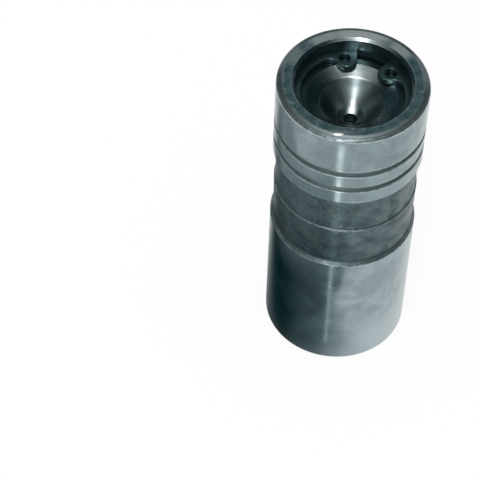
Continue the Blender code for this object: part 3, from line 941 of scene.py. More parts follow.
def placed(name: str, data: bpy.types.ID) -> bpy.types.Object:
    """A new object of some data, in the scene.

    Args:
        name: Its name.
        data: Its mesh, curve, lamp or camera.

    Returns:
        The object.
    """
    thing = bpy.data.objects.new(name, data)
    bpy.context.scene.collection.objects.link(thing)
    return thing


def mesh_piece(
    name: str,
    verts: Sequence[Sequence[float]],
    faces: Sequence[Sequence[int]],
    materials: Sequence[bpy.types.Material],
) -> bpy.types.Object:
    """A new mesh object, shaded smooth between its real edges.

    Args:
        name: Its name.
        verts: Its points in metres.
        faces: Its faces as point numbers.
        materials: Its material slots.

    Returns:
        The object, in the scene.
    """
    mesh = bpy.data.meshes.new(name)
    mesh.from_pydata(verts, [], faces)
    for material in materials:
        mesh.materials.append(material)
    piece = placed(name, mesh)
    smooth(piece)
    return piece


def smooth(piece: bpy.types.Object, sharp: float = 40.0) -> None:
    """Shades a mesh smooth, apart from edges sharper than an angle in degrees."""
    piece.data.shade_smooth()
    piece.data.set_sharp_from_angle(angle=math.radians(sharp))


def settled(piece: bpy.types.Object) -> None:
    """Applies a mesh's modifiers and shades it again.

    Args:
        piece: The object that the mesh belongs to.
    """
    done = bpy.data.meshes.new_from_object(piece.evaluated_get(bpy.context.evaluated_depsgraph_get()))
    piece.modifiers.clear()
    piece.data = done
    smooth(piece)


def cut_away(piece: bpy.types.Object, cutter: bpy.types.Object) -> None:
    """Cuts one object out of another and removes the cutter.

    Args:
        piece: The object that is cut.
        cutter: The object that is taken out of it.
    """
    cut = piece.modifiers.new("cut", "BOOLEAN")
    cut.operation = "DIFFERENCE"
    cut.solver = "EXACT"
    cut.object = cutter
    settled(piece)
    bpy.data.objects.remove(cutter)


def evened(piece: bpy.types.Object) -> None:
    """Lets the large faces rule the shading, so that flat runs stay flat up to their rounded edges."""
    even = piece.modifiers.new("even_shading", "WEIGHTED_NORMAL")
    even.keep_sharp = True


@dataclass
class CrossHole:
    """A round hole through a turned wall, with a broken outer edge."""

    diameter: float
    height: float
    inner: float
    outer: float
    azimuth: float = 90.0
    countersink: float = 0.12
    margin: float = 0.6
    segments: int = 48
    finish: Steel = BORE

    def drill(self, piece: bpy.types.Object) -> None:
        """Cuts the hole into a piece.

        Args:
            piece: The turned piece.
        """
        radius = self.diameter / 2
        start, end = self.inner - self.margin, self.outer + self.margin
        wide = radius + self.countersink + self.margin
        shaft = (0.0, start), (radius, start), (radius, self.outer - self.countersink)
        corners = run(self.finish, 0.0, *shaft, (wide, end), (0.0, end))
        cutter = Turned("cross_hole_cutter", corners, self.segments).piece
        angle = math.radians(self.azimuth)
        outward = Vector((math.cos(angle), math.sin(angle), 0.0))
        turn = Vector((0, 0, 1)).rotation_difference(outward).to_matrix().to_4x4()
        cutter.data.transform(Matrix.Translation((0, 0, self.height * MM)) @ turn)
        cut_away(piece, cutter)


def low_of(node: str) -> float:
    """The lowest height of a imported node, in millimetres."""
    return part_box(node)[0].z / MM


def high_of(node: str) -> float:
    """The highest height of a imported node, in millimetres."""
    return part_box(node)[1].z / MM


@dataclass
class Piece(ABC):
    """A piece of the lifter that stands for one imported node."""

    node: ClassVar[str]
    body: ClassVar[str]
    slot: ClassVar[str]

    @property
    def name(self) -> str:
        """The name of the piece in the scene."""
        return f"{self.node}_finished"

    @abstractmethod
    def make(self) -> bpy.types.Object:
        """Builds and dresses the piece's mesh."""

    def build(self) -> bpy.types.Object:
        """Makes the piece and hands it to its body.

        Returns:
            The finished object.
        """
        made = self.make()
        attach(made, self.body)
        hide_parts(self.node)
        LOG.info("%s: %d faces, rides on %s", made.name, len(made.data.polygons), self.body)
        return made


@dataclass
class LifterBody(Piece):
    """The turned body with its lands, grooves, neck, waist, bore and chamber."""

    node = "lifter_body"
    body = "lifter_body"
    slot = "ground_steel"

    radius: float = 10.69
    length: float = 50.8
    foot_break: float = 0.3
    chamfer_width: float = 0.89
    chamfer_height: float = 0.34
    top_land: float = 6.8
    groove_width: float = 1.0
    groove_depth: float = 0.45
    middle_land: float = 2.19
    lower_land: float = 2.31
    neck_height: float = 6.53
    neck_depth: float = 0.5
    waist_height: float = 7.37
    waist_depth_top: float = 0.33
    waist_depth_bottom: float = 0.45
    shoulder_height: float = 0.63
    bore: float = 8.13
    mouth_chamfer: float = 0.36
    ring_groove_depth: float = 0.47
    ring_play: float = 0.05
    annulus_height: float = 34.1
    annulus_half: float = 1.6
    annulus_depth: float = 0.47
    bore_bottom: float = 13.2
    chamber: float = 6.3
    chamber_fillet: float = 0.9
    foot_thickness: float = 6.2
    feed_hole: float = 2.4

    def _outside(self) -> list[Corner]:
        """The outer side, from the middle of the foot up to the rim.

        Returns:
            The corners in order.
        """
        radius = self.radius
        lands = self.length - self.top_land - self.middle_land - self.lower_land - 2 * self.groove_width
        neck_foot = lands - self.neck_height
        waist_foot = neck_foot - self.waist_height
        step = self.neck_depth - self.waist_depth_top
        corners = run(FOOT, 0.12, (0.0, 0.0), (radius - self.foot_break, 0.0))
        corners += run(GROUND, 0.12, (radius, self.foot_break))
        corners += run(SHOULDER, 0.06, (radius, waist_foot - self.shoulder_height))
        corners += run(SCALE, 0.08, (radius - self.waist_depth_bottom, waist_foot))
        corners += run(STEP, 0.05, (radius - self.waist_depth_top, neck_foot - step))
        corners += run(SCALE, 0.05, (radius - self.neck_depth, neck_foot))
        corners += run(SCALE, 0.3, (radius - self.neck_depth, lands))
        corners += run(LAND, 0.05, (radius, lands))
        height = lands
        for land in (self.lower_land, self.middle_land):
            height += land
            corners += run(GROOVE, 0.06, (radius, height))
            corners += run(GROOVE, 0.25, (radius - self.groove_depth, height))
            height += self.groove_width
            corners += run(GROOVE, 0.15, (radius - self.groove_depth, height))
            corners += run(LAND, 0.06, (radius, height))
        corners += run(CHAMFER, 0.42, (radius, self.length - self.chamfer_height))
        return corners + run(RIM, 0.12, (radius - self.chamfer_width, self.length))

    def _inside(self) -> list[Corner]:
        """The inner side, from the rim down to the middle of the chamber's floor.

        Returns:
            The corners in order.
        """
        bore = self.bore
        groove = bore + self.ring_groove_depth
        groove_top = high_of("retaining_ring") + self.ring_play
        groove_foot = low_of("retaining_ring") - self.ring_play
        top = self.annulus_height + self.annulus_half
        foot = self.annulus_height - self.annulus_half
        depth = self.annulus_depth
        corners = run(MOUTH, 0.06, (bore + self.mouth_chamfer, self.length))
        corners += run(BORE, 0.06, (bore, self.length - self.mouth_chamfer))
        corners += run(NOOK, 0.0, (bore, groove_top), (groove, groove_top), (groove, groove_foot))
        corners += run(NOOK, 0.0, (bore, groove_foot))
        corners += run(BORE, 0.05, (bore, top), (bore + depth, top - depth))
        corners += run(BORE, 0.05, (bore + depth, foot + depth), (bore, foot), (bore, self.bore_bottom))
        corners += run(GROOVE, 0.1, (self.chamber, self.bore_bottom))
        corners += run(GROOVE, self.chamber_fillet, (self.chamber, self.foot_thickness))
        return corners + run(GROOVE, 0.0, (0.0, self.foot_thickness))

    def make(self) -> bpy.types.Object:
        """Turns the body and drills its feed hole.

        Returns:
            The body.
        """
        made = Turned(self.name, self._outside() + self._inside()).piece
        wall = self.radius - self.neck_depth
        CrossHole(self.feed_hole, self.annulus_height, self.bore, wall).drill(made)
        evened(made)
        return made


@dataclass
class RetainingRing(Piece):
    """The flat stamped ring with an eye at each end."""

    node = "retaining_ring"
    body = "lifter_body"
    slot = "oiled_spring_steel"

    CORNER_STEPS: ClassVar[int] = 12
    EYE_STEPS: ClassVar[int] = 20
    HOLE_STEPS: ClassVar[int] = 48
    EDGE_STEPS: ClassVar[int] = 3
    INNER_STEPS: ClassVar[int] = 160
    OUTER_STEPS: ClassVar[int] = 220
    LEVEL: ClassVar[float] = 0.98
    UPRIGHT: ClassVar[float] = 0.2
    WELD: ClassVar[float] = 0.002
    SHARP: ClassVar[float] = 50.0

    outer: float = 8.55
    width: float = 1.3
    gap_azimuth: float = 67.3
    eye_spread: float = 29.0
    eye_centre: float = 6.42
    eye_hole: float = 0.8
    hole_outset: float = 0.3
    hole_setback: float = 0.25
    eye_wall: float = 0.62
    end_reach: float = 1.44
    end_lean: float = 9.0
    corner_radius: float = 1.3
    neck_radius: float = 1.4
    edge_radius: float = 0.09

    @property
    def hole_distance(self) -> float:
        """How far the eyes' holes lie from the axis."""
        return math.hypot(self.eye_centre + self.hole_outset, self.hole_setback)

    @property
    def hole_angle(self) -> float:
        """The angle between each hole and the gap's middle, in radians."""
        outset = math.atan2(self.hole_setback, self.eye_centre + self.hole_outset)
        return math.radians(self.eye_spread) + outset

    def _half_outline(self) -> list[Vector]:
        """Half of the outline with the gap's middle on +X, from the outer edge round the eye to the bend.

        Returns:
            The points in order, in millimetres.
        """
        spread = math.radians(self.eye_spread)
        along = Vector((math.cos(spread), math.sin(spread)))
        to_gap = Vector((along.y, -along.x))
        eye = self.eye_hole + self.eye_wall
        tip = self.eye_centre - eye
        lean = math.tan(math.radians(self.end_lean))
        inner = self.outer - self.width

        def end_edge(reach: float) -> Vector:
            """The point of the straight end edge at a distance along the eye's own radius."""
            return Vector((reach, self.end_reach + lean * (reach - self.eye_centre)))

        bend_distance = inner - self.neck_radius
        bend_reach = eye + self.neck_radius
        bend_x = (bend_distance**2 - bend_reach**2 + self.eye_centre**2) / (2 * self.eye_centre)
        bend_y = -math.sqrt(bend_distance**2 - bend_x**2)
        toward = math.atan2(bend_y, bend_x - self.eye_centre)
        corner = end_edge(tip)
        back = (end_edge(self.outer) - corner).normalized()
        onward = Vector((0.0, -1.0))
        half = back.angle(onward) / 2
        centre = corner + (back + onward).normalized() * self.corner_radius / math.sin(half)
        start = math.atan2(*reversed(corner + back * self.corner_radius / math.tan(half) - centre))
        points = [end_edge(self.outer * math.cos(self.end_reach / self.outer))]
        points += arc(centre, self.corner_radius, start, start + math.pi - 2 * half, self.CORNER_STEPS)
        points += arc((self.eye_centre, 0.0), eye, -math.pi, toward, self.EYE_STEPS)
        bend, bend_end = (bend_x, bend_y), math.atan2(bend_y, bend_x)
        points += arc(bend, self.neck_radius, toward + math.pi, bend_end, self.CORNER_STEPS)[1:]
        return [along * point[0] + to_gap * point[1] for point in points]

    def _outline(self) -> list[Vector]:
        """The whole outline, closed.

        Returns:
            The points in order, in millimetres.
        """
        half = self._half_outline()
        end = math.atan2(half[0].y, half[0].x)
        half[0] = Vector((self.outer * math.cos(end), self.outer * math.sin(end)))
        bend = math.atan2(half[-1].y, half[-1].x)
        inner = arc((0, 0), self.outer - self.width, bend, math.tau - bend, self.INNER_STEPS)[1:-1]
        outer = arc((0, 0), self.outer, math.tau - end, end, self.OUTER_STEPS)[1:-1]
        mirrored = [Vector((point.x, -point.y)) for point in reversed(half)]
        return half + [Vector(point) for point in inner] + mirrored + [Vector(point) for point in outer]

    def _on_hole_wall(self, face: bmesh.types.BMFace) -> bool:
        """Whether a face belongs to the wall of an eye's hole.

        Args:
            face: The face, in the frame.

        Returns:
            True on a hole's wall.
        """
        middle = face.calc_center_median().xy / MM
        gap = math.radians(self.gap_azimuth)
        for azimuth in (gap - self.hole_angle, gap + self.hole_angle):
            hole = Vector((math.cos(azimuth), math.sin(azimuth))) * self.hole_distance
            if (middle - hole).length < self.eye_hole + self.edge_radius:
                return abs(face.normal.z) < self.UPRIGHT
        return False

    def _stamped(self, foot: float, top: float) -> bpy.types.Mesh:
        """Fills the outline round its eyes and raises it to the ring's thickness, with rolled edges.

        Args:
            foot: The height of the lower face.
            top: The height of the upper face.

        Returns:
            The mesh, in the frame.
        """
        curve = bpy.data.curves.new(self.name, "CURVE")
        curve.dimensions = "2D"
        curve.fill_mode = "BOTH"
        curve.extrude = (top - foot) / 2 - self.edge_radius
        curve.bevel_depth = self.edge_radius
        curve.bevel_resolution = self.EDGE_STEPS
        curve.offset = -self.edge_radius
        loops = [self._outline()]
        for angle in (-self.hole_angle, self.hole_angle):
            middle = (self.hole_distance * math.cos(angle), self.hole_distance * math.sin(angle))
            rim = arc(middle, self.eye_hole, math.tau, 0.0, self.HOLE_STEPS)[1:]
            loops.append([Vector(point) for point in rim])
        for loop in loops:
            spline = curve.splines.new("POLY")
            spline.points.add(len(loop) - 1)
            spline.use_cyclic_u = True
            for point, place in zip(spline.points, loop):
                point.co = (place.x, place.y, 0.0, 1.0)
        drawn = placed("ring_outline", curve)
        mesh = bpy.data.meshes.new_from_object(drawn.evaluated_get(bpy.context.evaluated_depsgraph_get()))
        bpy.data.objects.remove(drawn)
        mesh.name = self.name
        turn = Matrix.Rotation(math.radians(self.gap_azimuth), 4, "Z")
        mesh.transform(Matrix.Scale(MM, 4) @ Matrix.Translation((0, 0, (foot + top) / 2)) @ turn)
        return mesh

    def make(self) -> bpy.types.Object:
        """Stamps the ring and gives its faces, its edges and its holes their finishes.

        Returns:
            The ring.
        """
        mesh = self._stamped(low_of(self.node), high_of(self.node))
        finishes = (STAMPED, STAMPED_EDGE, NOOK)
        shape = bmesh.new()
        shape.from_mesh(mesh)
        bmesh.ops.remove_doubles(shape, verts=shape.verts, dist=self.WELD * MM)
        for face in shape.faces:
            finish = NOOK if self._on_hole_wall(face) else STAMPED_EDGE
            level = abs(face.normal.z) > self.LEVEL
            face.material_index = finishes.index(STAMPED if level else finish)
        shape.to_mesh(mesh)
        shape.free()
        mesh.materials.clear()
        for finish in finishes:
            mesh.materials.append(finish.material())
        made = placed(self.name, mesh)
        smooth(made, self.SHARP)
        evened(made)
        return made


@dataclass
class PushrodSeat(Piece):
    """The seat with its dish, its conical, round-bottomed socket and its oil hole."""

    node = "pushrod_seat"
    body = "plunger"
    slot = "turned_steel"

    radius: float = 8.09
    top_chamfer: float = 0.65
    bottom_chamfer: float = 0.3
    dish: float = 6.4
    dish_angle: float = 23.6
    dish_width: float = 1.9
    mouth: float = 0.3
    cone_angle: float = 49.0
    ball: float = 2.5
    oil_hole: float = 1.0
    bowl_steps: int = 32

    def _socket(self, top: float) -> list[Pair]:
        """The socket's mouth, then its ball-shaped bottom from the cone's foot to the oil hole.

        Args:
            top: The height of the seat's top.

        Returns:
            The mouth's corner, then the points down to the hole, as (radius, height).
        """
        cone = math.radians(self.cone_angle)
        mouth = self.dish - self.dish_width
        mouth_height = top - self.dish_width * math.tan(math.radians(self.dish_angle))
        cone_height = (mouth - self.ball * math.sin(cone)) * math.tan(cone)
        centre = Vector((0.0, mouth_height - cone_height + self.ball * math.cos(cone)))
        end = -math.acos(self.oil_hole / self.ball)
        return [(mouth, mouth_height), *arc(centre, self.ball, cone - math.pi / 2, end, self.bowl_steps)]

    def make(self) -> bpy.types.Object:
        """Turns the seat.

        Returns:
            The seat.
        """
        foot, top = low_of(self.node), high_of(self.node)
        mouth, *bowl, hole_edge = self._socket(top)
        corners = run(BORE, 0.06, (self.oil_hole, foot), (self.radius - self.bottom_chamfer, foot))
        corners += run(GROUND, 0.06, (self.radius, foot + self.bottom_chamfer))
        corners += run(SEAT_LAND, 0.06, (self.radius, top - self.top_chamfer))
        corners += run(SEAT_LAND, 0.06, (self.radius - self.top_chamfer, top))
        corners += run(DISH, 0.1, (self.dish, top))
        corners += run(SOCKET, self.mouth, mouth)
        corners += run(BOWL, 0.0, *bowl)
        corners += run(BORE, 0.08, hole_edge)
        made = Turned(self.name, corners).piece
        evened(made)
        return made


@dataclass
class MeteringDisc(Piece):
    """The thin disc with the small hole that meters oil to the pushrod."""

    node = "metering_disc"
    body = "plunger"
    slot = "spring_steel_sheet"

    radius: float = 6.26
    hole: float = 0.4

    def make(self) -> bpy.types.Object:
        """Turns the disc.

        Returns:
            The disc.
        """
        foot, top = low_of(self.node), high_of(self.node)
        under = (self.hole, foot), (self.radius, foot)
        over = (self.radius, top), (self.hole, top)
        made = Turned(self.name, run(SHEET, 0.06, *under, *over), segments=128).piece
        evened(made)
        return made


@dataclass
class Plunger(Piece):
    """The hollow plunger with its oil groove, cross hole, reservoir, valve seat and cage recess."""

    node = "plunger"
    body = "plunger"
    slot = "lapped_steel"

    radius: float = 8.09
    edge_break: float = 0.3
    groove_height: float = 34.1
    groove_half: float = 2.2
    groove_depth: float = 0.6
    pocket: float = 6.3
    pocket_depth: float = 0.75
    reservoir: float = 5.4
    reservoir_fillet: float = 0.9
    valve_wall: float = 1.4
    valve_hole: float = 1.5
    valve_cone: float = 0.4
    recess: float = 5.9
    recess_depth: float = 0.9
    cross_hole: float = 1.8

    def make(self) -> bpy.types.Object:
        """Turns the plunger and drills its cross hole.

        Returns:
            The plunger.
        """
        foot, top = low_of(self.node), high_of(self.node)
        face = foot + self.recess_depth
        groove = self.radius - self.groove_depth
        low, high = self.groove_height - self.groove_half, self.groove_height + self.groove_half
        pocket_floor = top - self.pocket_depth
        cone = self.valve_hole + self.valve_cone
        corners = run(LAPPED, 0.04, (cone, face), (self.recess, face), (self.recess, foot))
        corners += run(LAPPED, 0.08, (self.radius - self.edge_break, foot))
        corners += run(LAPPED, 0.08, (self.radius, foot + self.edge_break))
        corners += run(GROOVE, 0.06, (self.radius, low), (groove, low + self.groove_depth))
        corners += run(GROOVE, 0.06, (groove, high - self.groove_depth))
        corners += run(LAPPED, 0.06, (self.radius, high), (self.radius, top - self.edge_break))
        corners += run(LAPPED, 0.08, (self.radius - self.edge_break, top), (self.pocket, top))
        corners += run(GROOVE, 0.06, (self.pocket, pocket_floor), (self.reservoir, pocket_floor))
        corners += run(GROOVE, self.reservoir_fillet, (self.reservoir, face + self.valve_wall))
        corners += run(BORE, 0.05, (self.valve_hole, face + self.valve_wall))
        corners += run(LAPPED, 0.02, (self.valve_hole, face + self.valve_cone))
        made = Turned(self.name, corners, segments=192).piece
        CrossHole(self.cross_hole, self.groove_height, self.reservoir, groove).drill(made)
        evened(made)
        return made


@dataclass
class CheckBall(Piece):
    """The ball of the check valve."""

    node = "check_ball"
    body = "check_ball"
    slot = "bearing_steel"

    radius: float = 2.38
    rings: int = 48

    def make(self) -> bpy.types.Object:
        """Turns the ball from a half circle.

        Returns:
            The ball.
        """
        middle = (low_of(self.node) + high_of(self.node)) / 2
        half = arc((0.0, middle), self.radius, -math.pi / 2, math.pi / 2, self.rings)[1:-1]
        ends = (0.0, middle - self.radius), (0.0, middle + self.radius)
        corners = run(BEARING, 0.0, ends[0], *half, ends[1])
        return Turned(self.name, corners, segments=2 * self.rings).piece


@dataclass
class BallCage(Piece):
    """The stamped cage: a flange in the plunger's recess and a cup with windows below the ball."""

    node = "check_ball_retainer"
    body = "plunger"
    slot = "stamped_steel"

    inside: float = 2.9
    sheet: float = 0.4
    flange: float = 5.86
    bend: float = 0.35
    floor_hole: float = 0.8
    windows: int = 3
    window_width: float = 2.2
    window_height: float = 2.4
    window_corner: float = 0.35
    window_corner_steps: int = 5

    def _window(self, middle: float, angle: float) -> bpy.types.Object:
        """A block with rounded edges that stands through the cage's wall.

        Args:
            middle: Its height.
            angle: Its azimuth in radians.

        Returns:
            The cutter.
        """
        shape = bmesh.new()
        bmesh.ops.create_cube(shape, size=1.0)
        block = (4 * self.sheet, self.window_width, self.window_height)
        bmesh.ops.scale(shape, verts=shape.verts, vec=block)
        radial = [edge for edge in shape.edges if abs(edge.verts[0].co.x - edge.verts[1].co.x) > self.sheet]
        bmesh.ops.bevel(
            shape,
            geom=radial,
            offset=self.window_corner,
            segments=self.window_corner_steps,
            affect="EDGES",
            profile=0.5,
        )
        outward = Matrix.Translation((self.inside + self.sheet / 2, 0, middle))
        turned = Matrix.Scale(MM, 4) @ Matrix.Rotation(angle, 4, "Z") @ outward
        bmesh.ops.transform(shape, matrix=turned, verts=shape.verts)
        mesh = bpy.data.meshes.new("window_cutter")
        shape.to_mesh(mesh)
        shape.free()
        mesh.materials.append(SHEET.material())
        return placed("window_cutter", mesh)

    def make(self) -> bpy.types.Object:
        """Turns the cage and punches its windows.

        Returns:
            The cage.
        """
        under, top = low_of(self.node), high_of(self.node)
        floor, flange_foot = under + self.sheet, top - self.sheet
        outside = self.inside + self.sheet
        corners = run(SHEET, 0.04, (self.floor_hole, under))
        corners += run(SHEET, self.bend * 2, (outside, under))
        corners += run(SHEET, self.bend, (outside, flange_foot))
        corners += run(SHEET, 0.06, (self.flange, flange_foot), (self.flange, top))
        corners += run(SHEET, self.bend * 2, (self.inside, top))
        corners += run(SHEET, self.bend, (self.inside, floor))
        corners += run(SHEET, 0.04, (self.floor_hole, floor))
        made = Turned(self.name, corners, segments=96).piece
        for window in range(self.windows):
            cut_away(made, self._window((floor + flange_foot) / 2, math.tau * window / self.windows))
        evened(made)
        return made


@dataclass
class Coil(Piece):
    """A coil spring whose end turns are closed."""

    joint: ClassVar[str]

    wire: float
    foot_diameter: float
    top_diameter: float
    turns: float
    travel: float
    clearance: float = 0.04
    steps_a_turn: int = 48
    sides: int = 16

    def _path(self, foot: float, top: float) -> list[Vector]:
        """The wire's middle line from the foot to the top, in millimetres.

        Args:
            foot: The height of the spring's foot.
            top: The height of its top.

        Returns:
            The points in order.
        """
        closed = self.wire + self.clearance
        opened = (top - foot - self.wire - 2 * closed) / (self.turns - 2)
        count = round(self.turns * self.steps_a_turn)
        path = []
        for index in range(count + 1):
            turn = self.turns * index / count
            middle = min(max(turn - 1, 0), self.turns - 2)
            height = foot + self.wire / 2 + closed * (turn - middle) + opened * middle
            share = turn / self.turns
            radius = (self.foot_diameter * (1 - share) + self.top_diameter * share) / 2
            angle = math.tau * turn
            path.append(Vector((radius * math.cos(angle), radius * math.sin(angle), height)))
        return path

    def make(self) -> bpy.types.Object:
        """Winds the wire and closes its ends.

        Returns:
            The spring.
        """
        path = self._path(low_of(self.node), high_of(self.node))
        verts: list[Vector] = []
        last = len(path) - 1
        for index, middle in enumerate(path):
            along = (path[min(index + 1, last)] - path[max(index - 1, 0)]).normalized()
            radial = Vector((middle.x, middle.y, 0.0)).normalized()
            radial = (radial - along * radial.dot(along)).normalized()
            upward = along.cross(radial)
            for side in range(self.sides):
                angle = math.tau * side / self.sides
                outward = radial * math.cos(angle) + upward * math.sin(angle)
                verts.append((middle + outward * self.wire / 2) * MM)
        faces = []
        for index in range(last):
            for side in range(self.sides):
                following = (side + 1) % self.sides
                low, high = index * self.sides, (index + 1) * self.sides
                faces.append((low + side, low + following, high + following, high + side))
        faces.append(tuple(reversed(range(self.sides))))
        faces.append(tuple(last * self.sides + side for side in range(self.sides)))
        return mesh_piece(self.name, verts, faces, [WIRE.material()])

    def build(self) -> bpy.types.Object:
        """Makes the spring and gives it a mesh of its own.

        Returns:
            The finished spring.
        """
        made = super().build()
        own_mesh(made)
        return made


@dataclass
class PlungerSpring(Coil):
    """The spring in the chamber that lifts the plunger."""

    node = "plunger_spring"
    body = "lifter_body"
    slot = "spring_wire"
    joint = "plunger_travel"

    wire: float = 1.1
    foot_diameter: float = 9.6
    top_diameter: float = 9.6
    turns: float = 5.5
    travel: float = 4.2


@dataclass
class CheckBallSpring(Coil):
    """The light spring under the ball."""

    node = "check_ball_spring"
    body = "plunger"
    slot = "spring_wire"
    joint = "check_ball_travel"

    wire: float = 0.26
    foot_diameter: float = 3.2
    top_diameter: float = 2.6
    turns: float = 3.5
    travel: float = 0.4


class Seen(Enum):
    """Which rays see a part of the studio."""

    ALL = "all"
    IN_STEEL = "only in reflections"


def heading(azimuth: float, elevation: float) -> Vector:
    """The unit vector towards an azimuth and an elevation, in degrees."""
    around, up = math.radians(azimuth), math.radians(elevation)
    return Vector((math.cos(around) * math.cos(up), math.sin(around) * math.cos(up), math.sin(up)))


@dataclass
class SoftBox:
    """A rectangular lamp that faces the lifter. Its length runs along the meridian."""

    name: str
    azimuth: float
    elevation: float
    distance: float
    width: float
    length: float
    power: float
    colour: Colour = (1.0, 1.0, 1.0)

    def build(self, target: Vector) -> None:
        """Hangs the lamp and turns it to a target.

        Args:
            target: The point that the lamp faces, in metres.
        """
        lamp = bpy.data.lights.new(self.name, "AREA")
        lamp.shape = "RECTANGLE"
        lamp.size = self.width * MM
        lamp.size_y = self.length * MM
        lamp.energy = self.power
        lamp.color = self.colour
        hung = placed(self.name, lamp)
        toward = heading(self.azimuth, self.elevation)
        hung.location = target + toward * self.distance * MM
        hung.rotation_euler = (-toward).to_track_quat("-Z", "Y").to_euler()


@dataclass
class Glow:
    """A soft light patch of the room round the lifter."""

    azimuth: float
    elevation: float
    inner: float
    outer: float
    colour: Colour


def see(thing: bpy.types.Object, seen: Seen) -> None:
    """Sets which rays see an object.

    Args:
        thing: The object.
        seen: The rays that see it.
    """
    everywhere = seen is Seen.ALL
    thing.visible_camera = everywhere
    thing.visible_diffuse = everywhere
    thing.visible_shadow = everywhere
    thing.visible_transmission = everywhere
    thing.visible_glossy = True


def stage_piece(
    name: str,
    verts: Sequence[Sequence[float]],
    faces: Sequence[Sequence[int]],
    paint: bpy.types.Material,
    seen: Seen,
) -> None:
    """Sets up a thing of the studio.

    Args:
        name: Its name.
        verts: Its points in millimetres.
        faces: Its faces as point numbers.
        paint: Its material.
        seen: Which rays see it.
    """
    made = mesh_piece(name, [Vector(vert) * MM for vert in verts], faces, [paint])
    see(made, seen)
    made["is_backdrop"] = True


@dataclass
class Roll:
    """A dark cloth roll lying on the floor beside the lifter, which glows with painted light and shade as if
    lit from above, with its shade painted on the floor.
    """

    start: Pair
    end: Pair
    radius: float
    # Colours of the painted glow: dark underneath, lighter on top and near its start, as painted light and
    # shade.
    under: Colour
    top: Colour
    near_end: Colour
    lit: Pair
    end_lit: Pair
    floor: Colour
    shade_width: Pair
    shade_start: Pair
    shade_end: Pair
    shade_drop: float = 0.01
    weave_stretch: Triple = (1.0, 1.0, 0.4)
    weave_size: float = 2.5
    weave_share: float = 0.5
    sides: int = 48

    @property
    def along(self) -> Vector:
        """The direction of its axis, level."""
        return Vector((self.end[0] - self.start[0], self.end[1] - self.start[1], 0.0)).normalized()

    @property
    def side(self) -> Vector:
        """The level direction from its axis towards the lifter."""
        return self.along.cross(Vector((0, 0, 1)))

    def _measured(self, nodes: Nodes, direction: Vector) -> Value:
        """How far a point lies from the start of the axis along a direction, in millimetres."""
        return nodes.reach(nodes.place() - (*self.start, 0.0), tuple(direction))

    def _painted_cloth_glow(self) -> bpy.types.Material:
        """The roll's glowing cloth, with painted light and shade: lighter towards its top and towards its
        start.

        Returns:
            The cloth.
        """
        made, nodes = new_paint("flag_painted_glow")
        place = nodes.place()
        cloth = nodes.blend(self._measured(nodes, self.along).step(*self.end_lit), self.under, self.near_end)
        cloth = nodes.blend(nodes.parts(place)[2].step(*self.lit), cloth, self.top)
        weave = nodes.noise(place * self.weave_stretch, self.weave_size)
        nodes.glow(nodes.blend(weave * self.weave_share, cloth, self.under))
        return made

    def _shaded_floor(self) -> bpy.types.Material:
        """The floor in the roll's shade, as the steel sees it.

        Returns:
            The shaded paper.
        """
        made, nodes = new_paint("shaded_floor")
        shade = self._measured(nodes, self.side).step(*self.shade_width)
        along = self._measured(nodes, self.along)
        shade = shade * along.step(*self.shade_start) * along.step(*self.shade_end)
        dark = nodes.blend(along.step(*self.end_lit), self.under, self.near_end)
        nodes.glow(nodes.blend(shade, self.floor, dark))
        return made

    def _lay_shade(self) -> None:
        """Lays the shaded patch of floor down, just over the floor itself."""
        start = Vector((*self.start, -self.shade_drop))
        near, far, wide = self.shade_start[0], self.shade_end[0], self.shade_width[0]
        corners = []
        for reach, across in ((near, 0.0), (near, wide), (far, wide), (far, 0.0)):
            corners.append(start + self.along * reach + self.side * across)
        stage_piece("shaded_floor", corners, [(0, 1, 2, 3)], self._shaded_floor(), Seen.IN_STEEL)

    def build(self) -> None:
        """Lays the roll down, with its shade."""
        self._lay_shade()
        up = Vector((0, 0, 1))
        side = self.side
        first, last = (Vector((*end, self.radius)) for end in (self.start, self.end))
        verts: list[Vector] = []
        for end in (first, last):
            for step in range(self.sides):
                angle = math.tau * step / self.sides
                verts.append(end + (side * math.cos(angle) + up * math.sin(angle)) * self.radius)
        faces = []
        for step in range(self.sides):
            following = (step + 1) % self.sides
            faces.append((step, self.sides + step, self.sides + following, following))
        faces.append(tuple(range(self.sides)))
        faces.append(tuple(self.sides + step for step in reversed(range(self.sides))))
        stage_piece("flag_roll", verts, faces, self._painted_cloth_glow(), Seen.IN_STEEL)


@dataclass
class Ribbon:
    """A narrow bright strip that stands close to the lifter and draws one streak up its walls."""

    azimuth: float
    distance: float
    height: float
    foot_width: float
    top_width: float
    foot_colour: Colour
    top_colour: Colour
    fade: Pair

    def build(self) -> None:
        """Stands the strip up."""
        made, nodes = new_paint("bright_strip")
        height = nodes.parts(nodes.place())[2]
        nodes.glow(nodes.blend(height.step(*self.fade), self.foot_colour, self.top_colour))
        out = heading(self.azimuth, 0.0)
        along = Vector((-out.y, out.x, 0.0))
        up = Vector((0, 0, self.height))
        middle = out * self.distance
        verts = [middle - along * self.foot_width, middle + along * self.foot_width]
        verts += [middle + along * self.top_width + up, middle - along * self.top_width + up]
        stage_piece("bright_strip", verts, [(0, 1, 2, 3)], made, Seen.IN_STEEL)


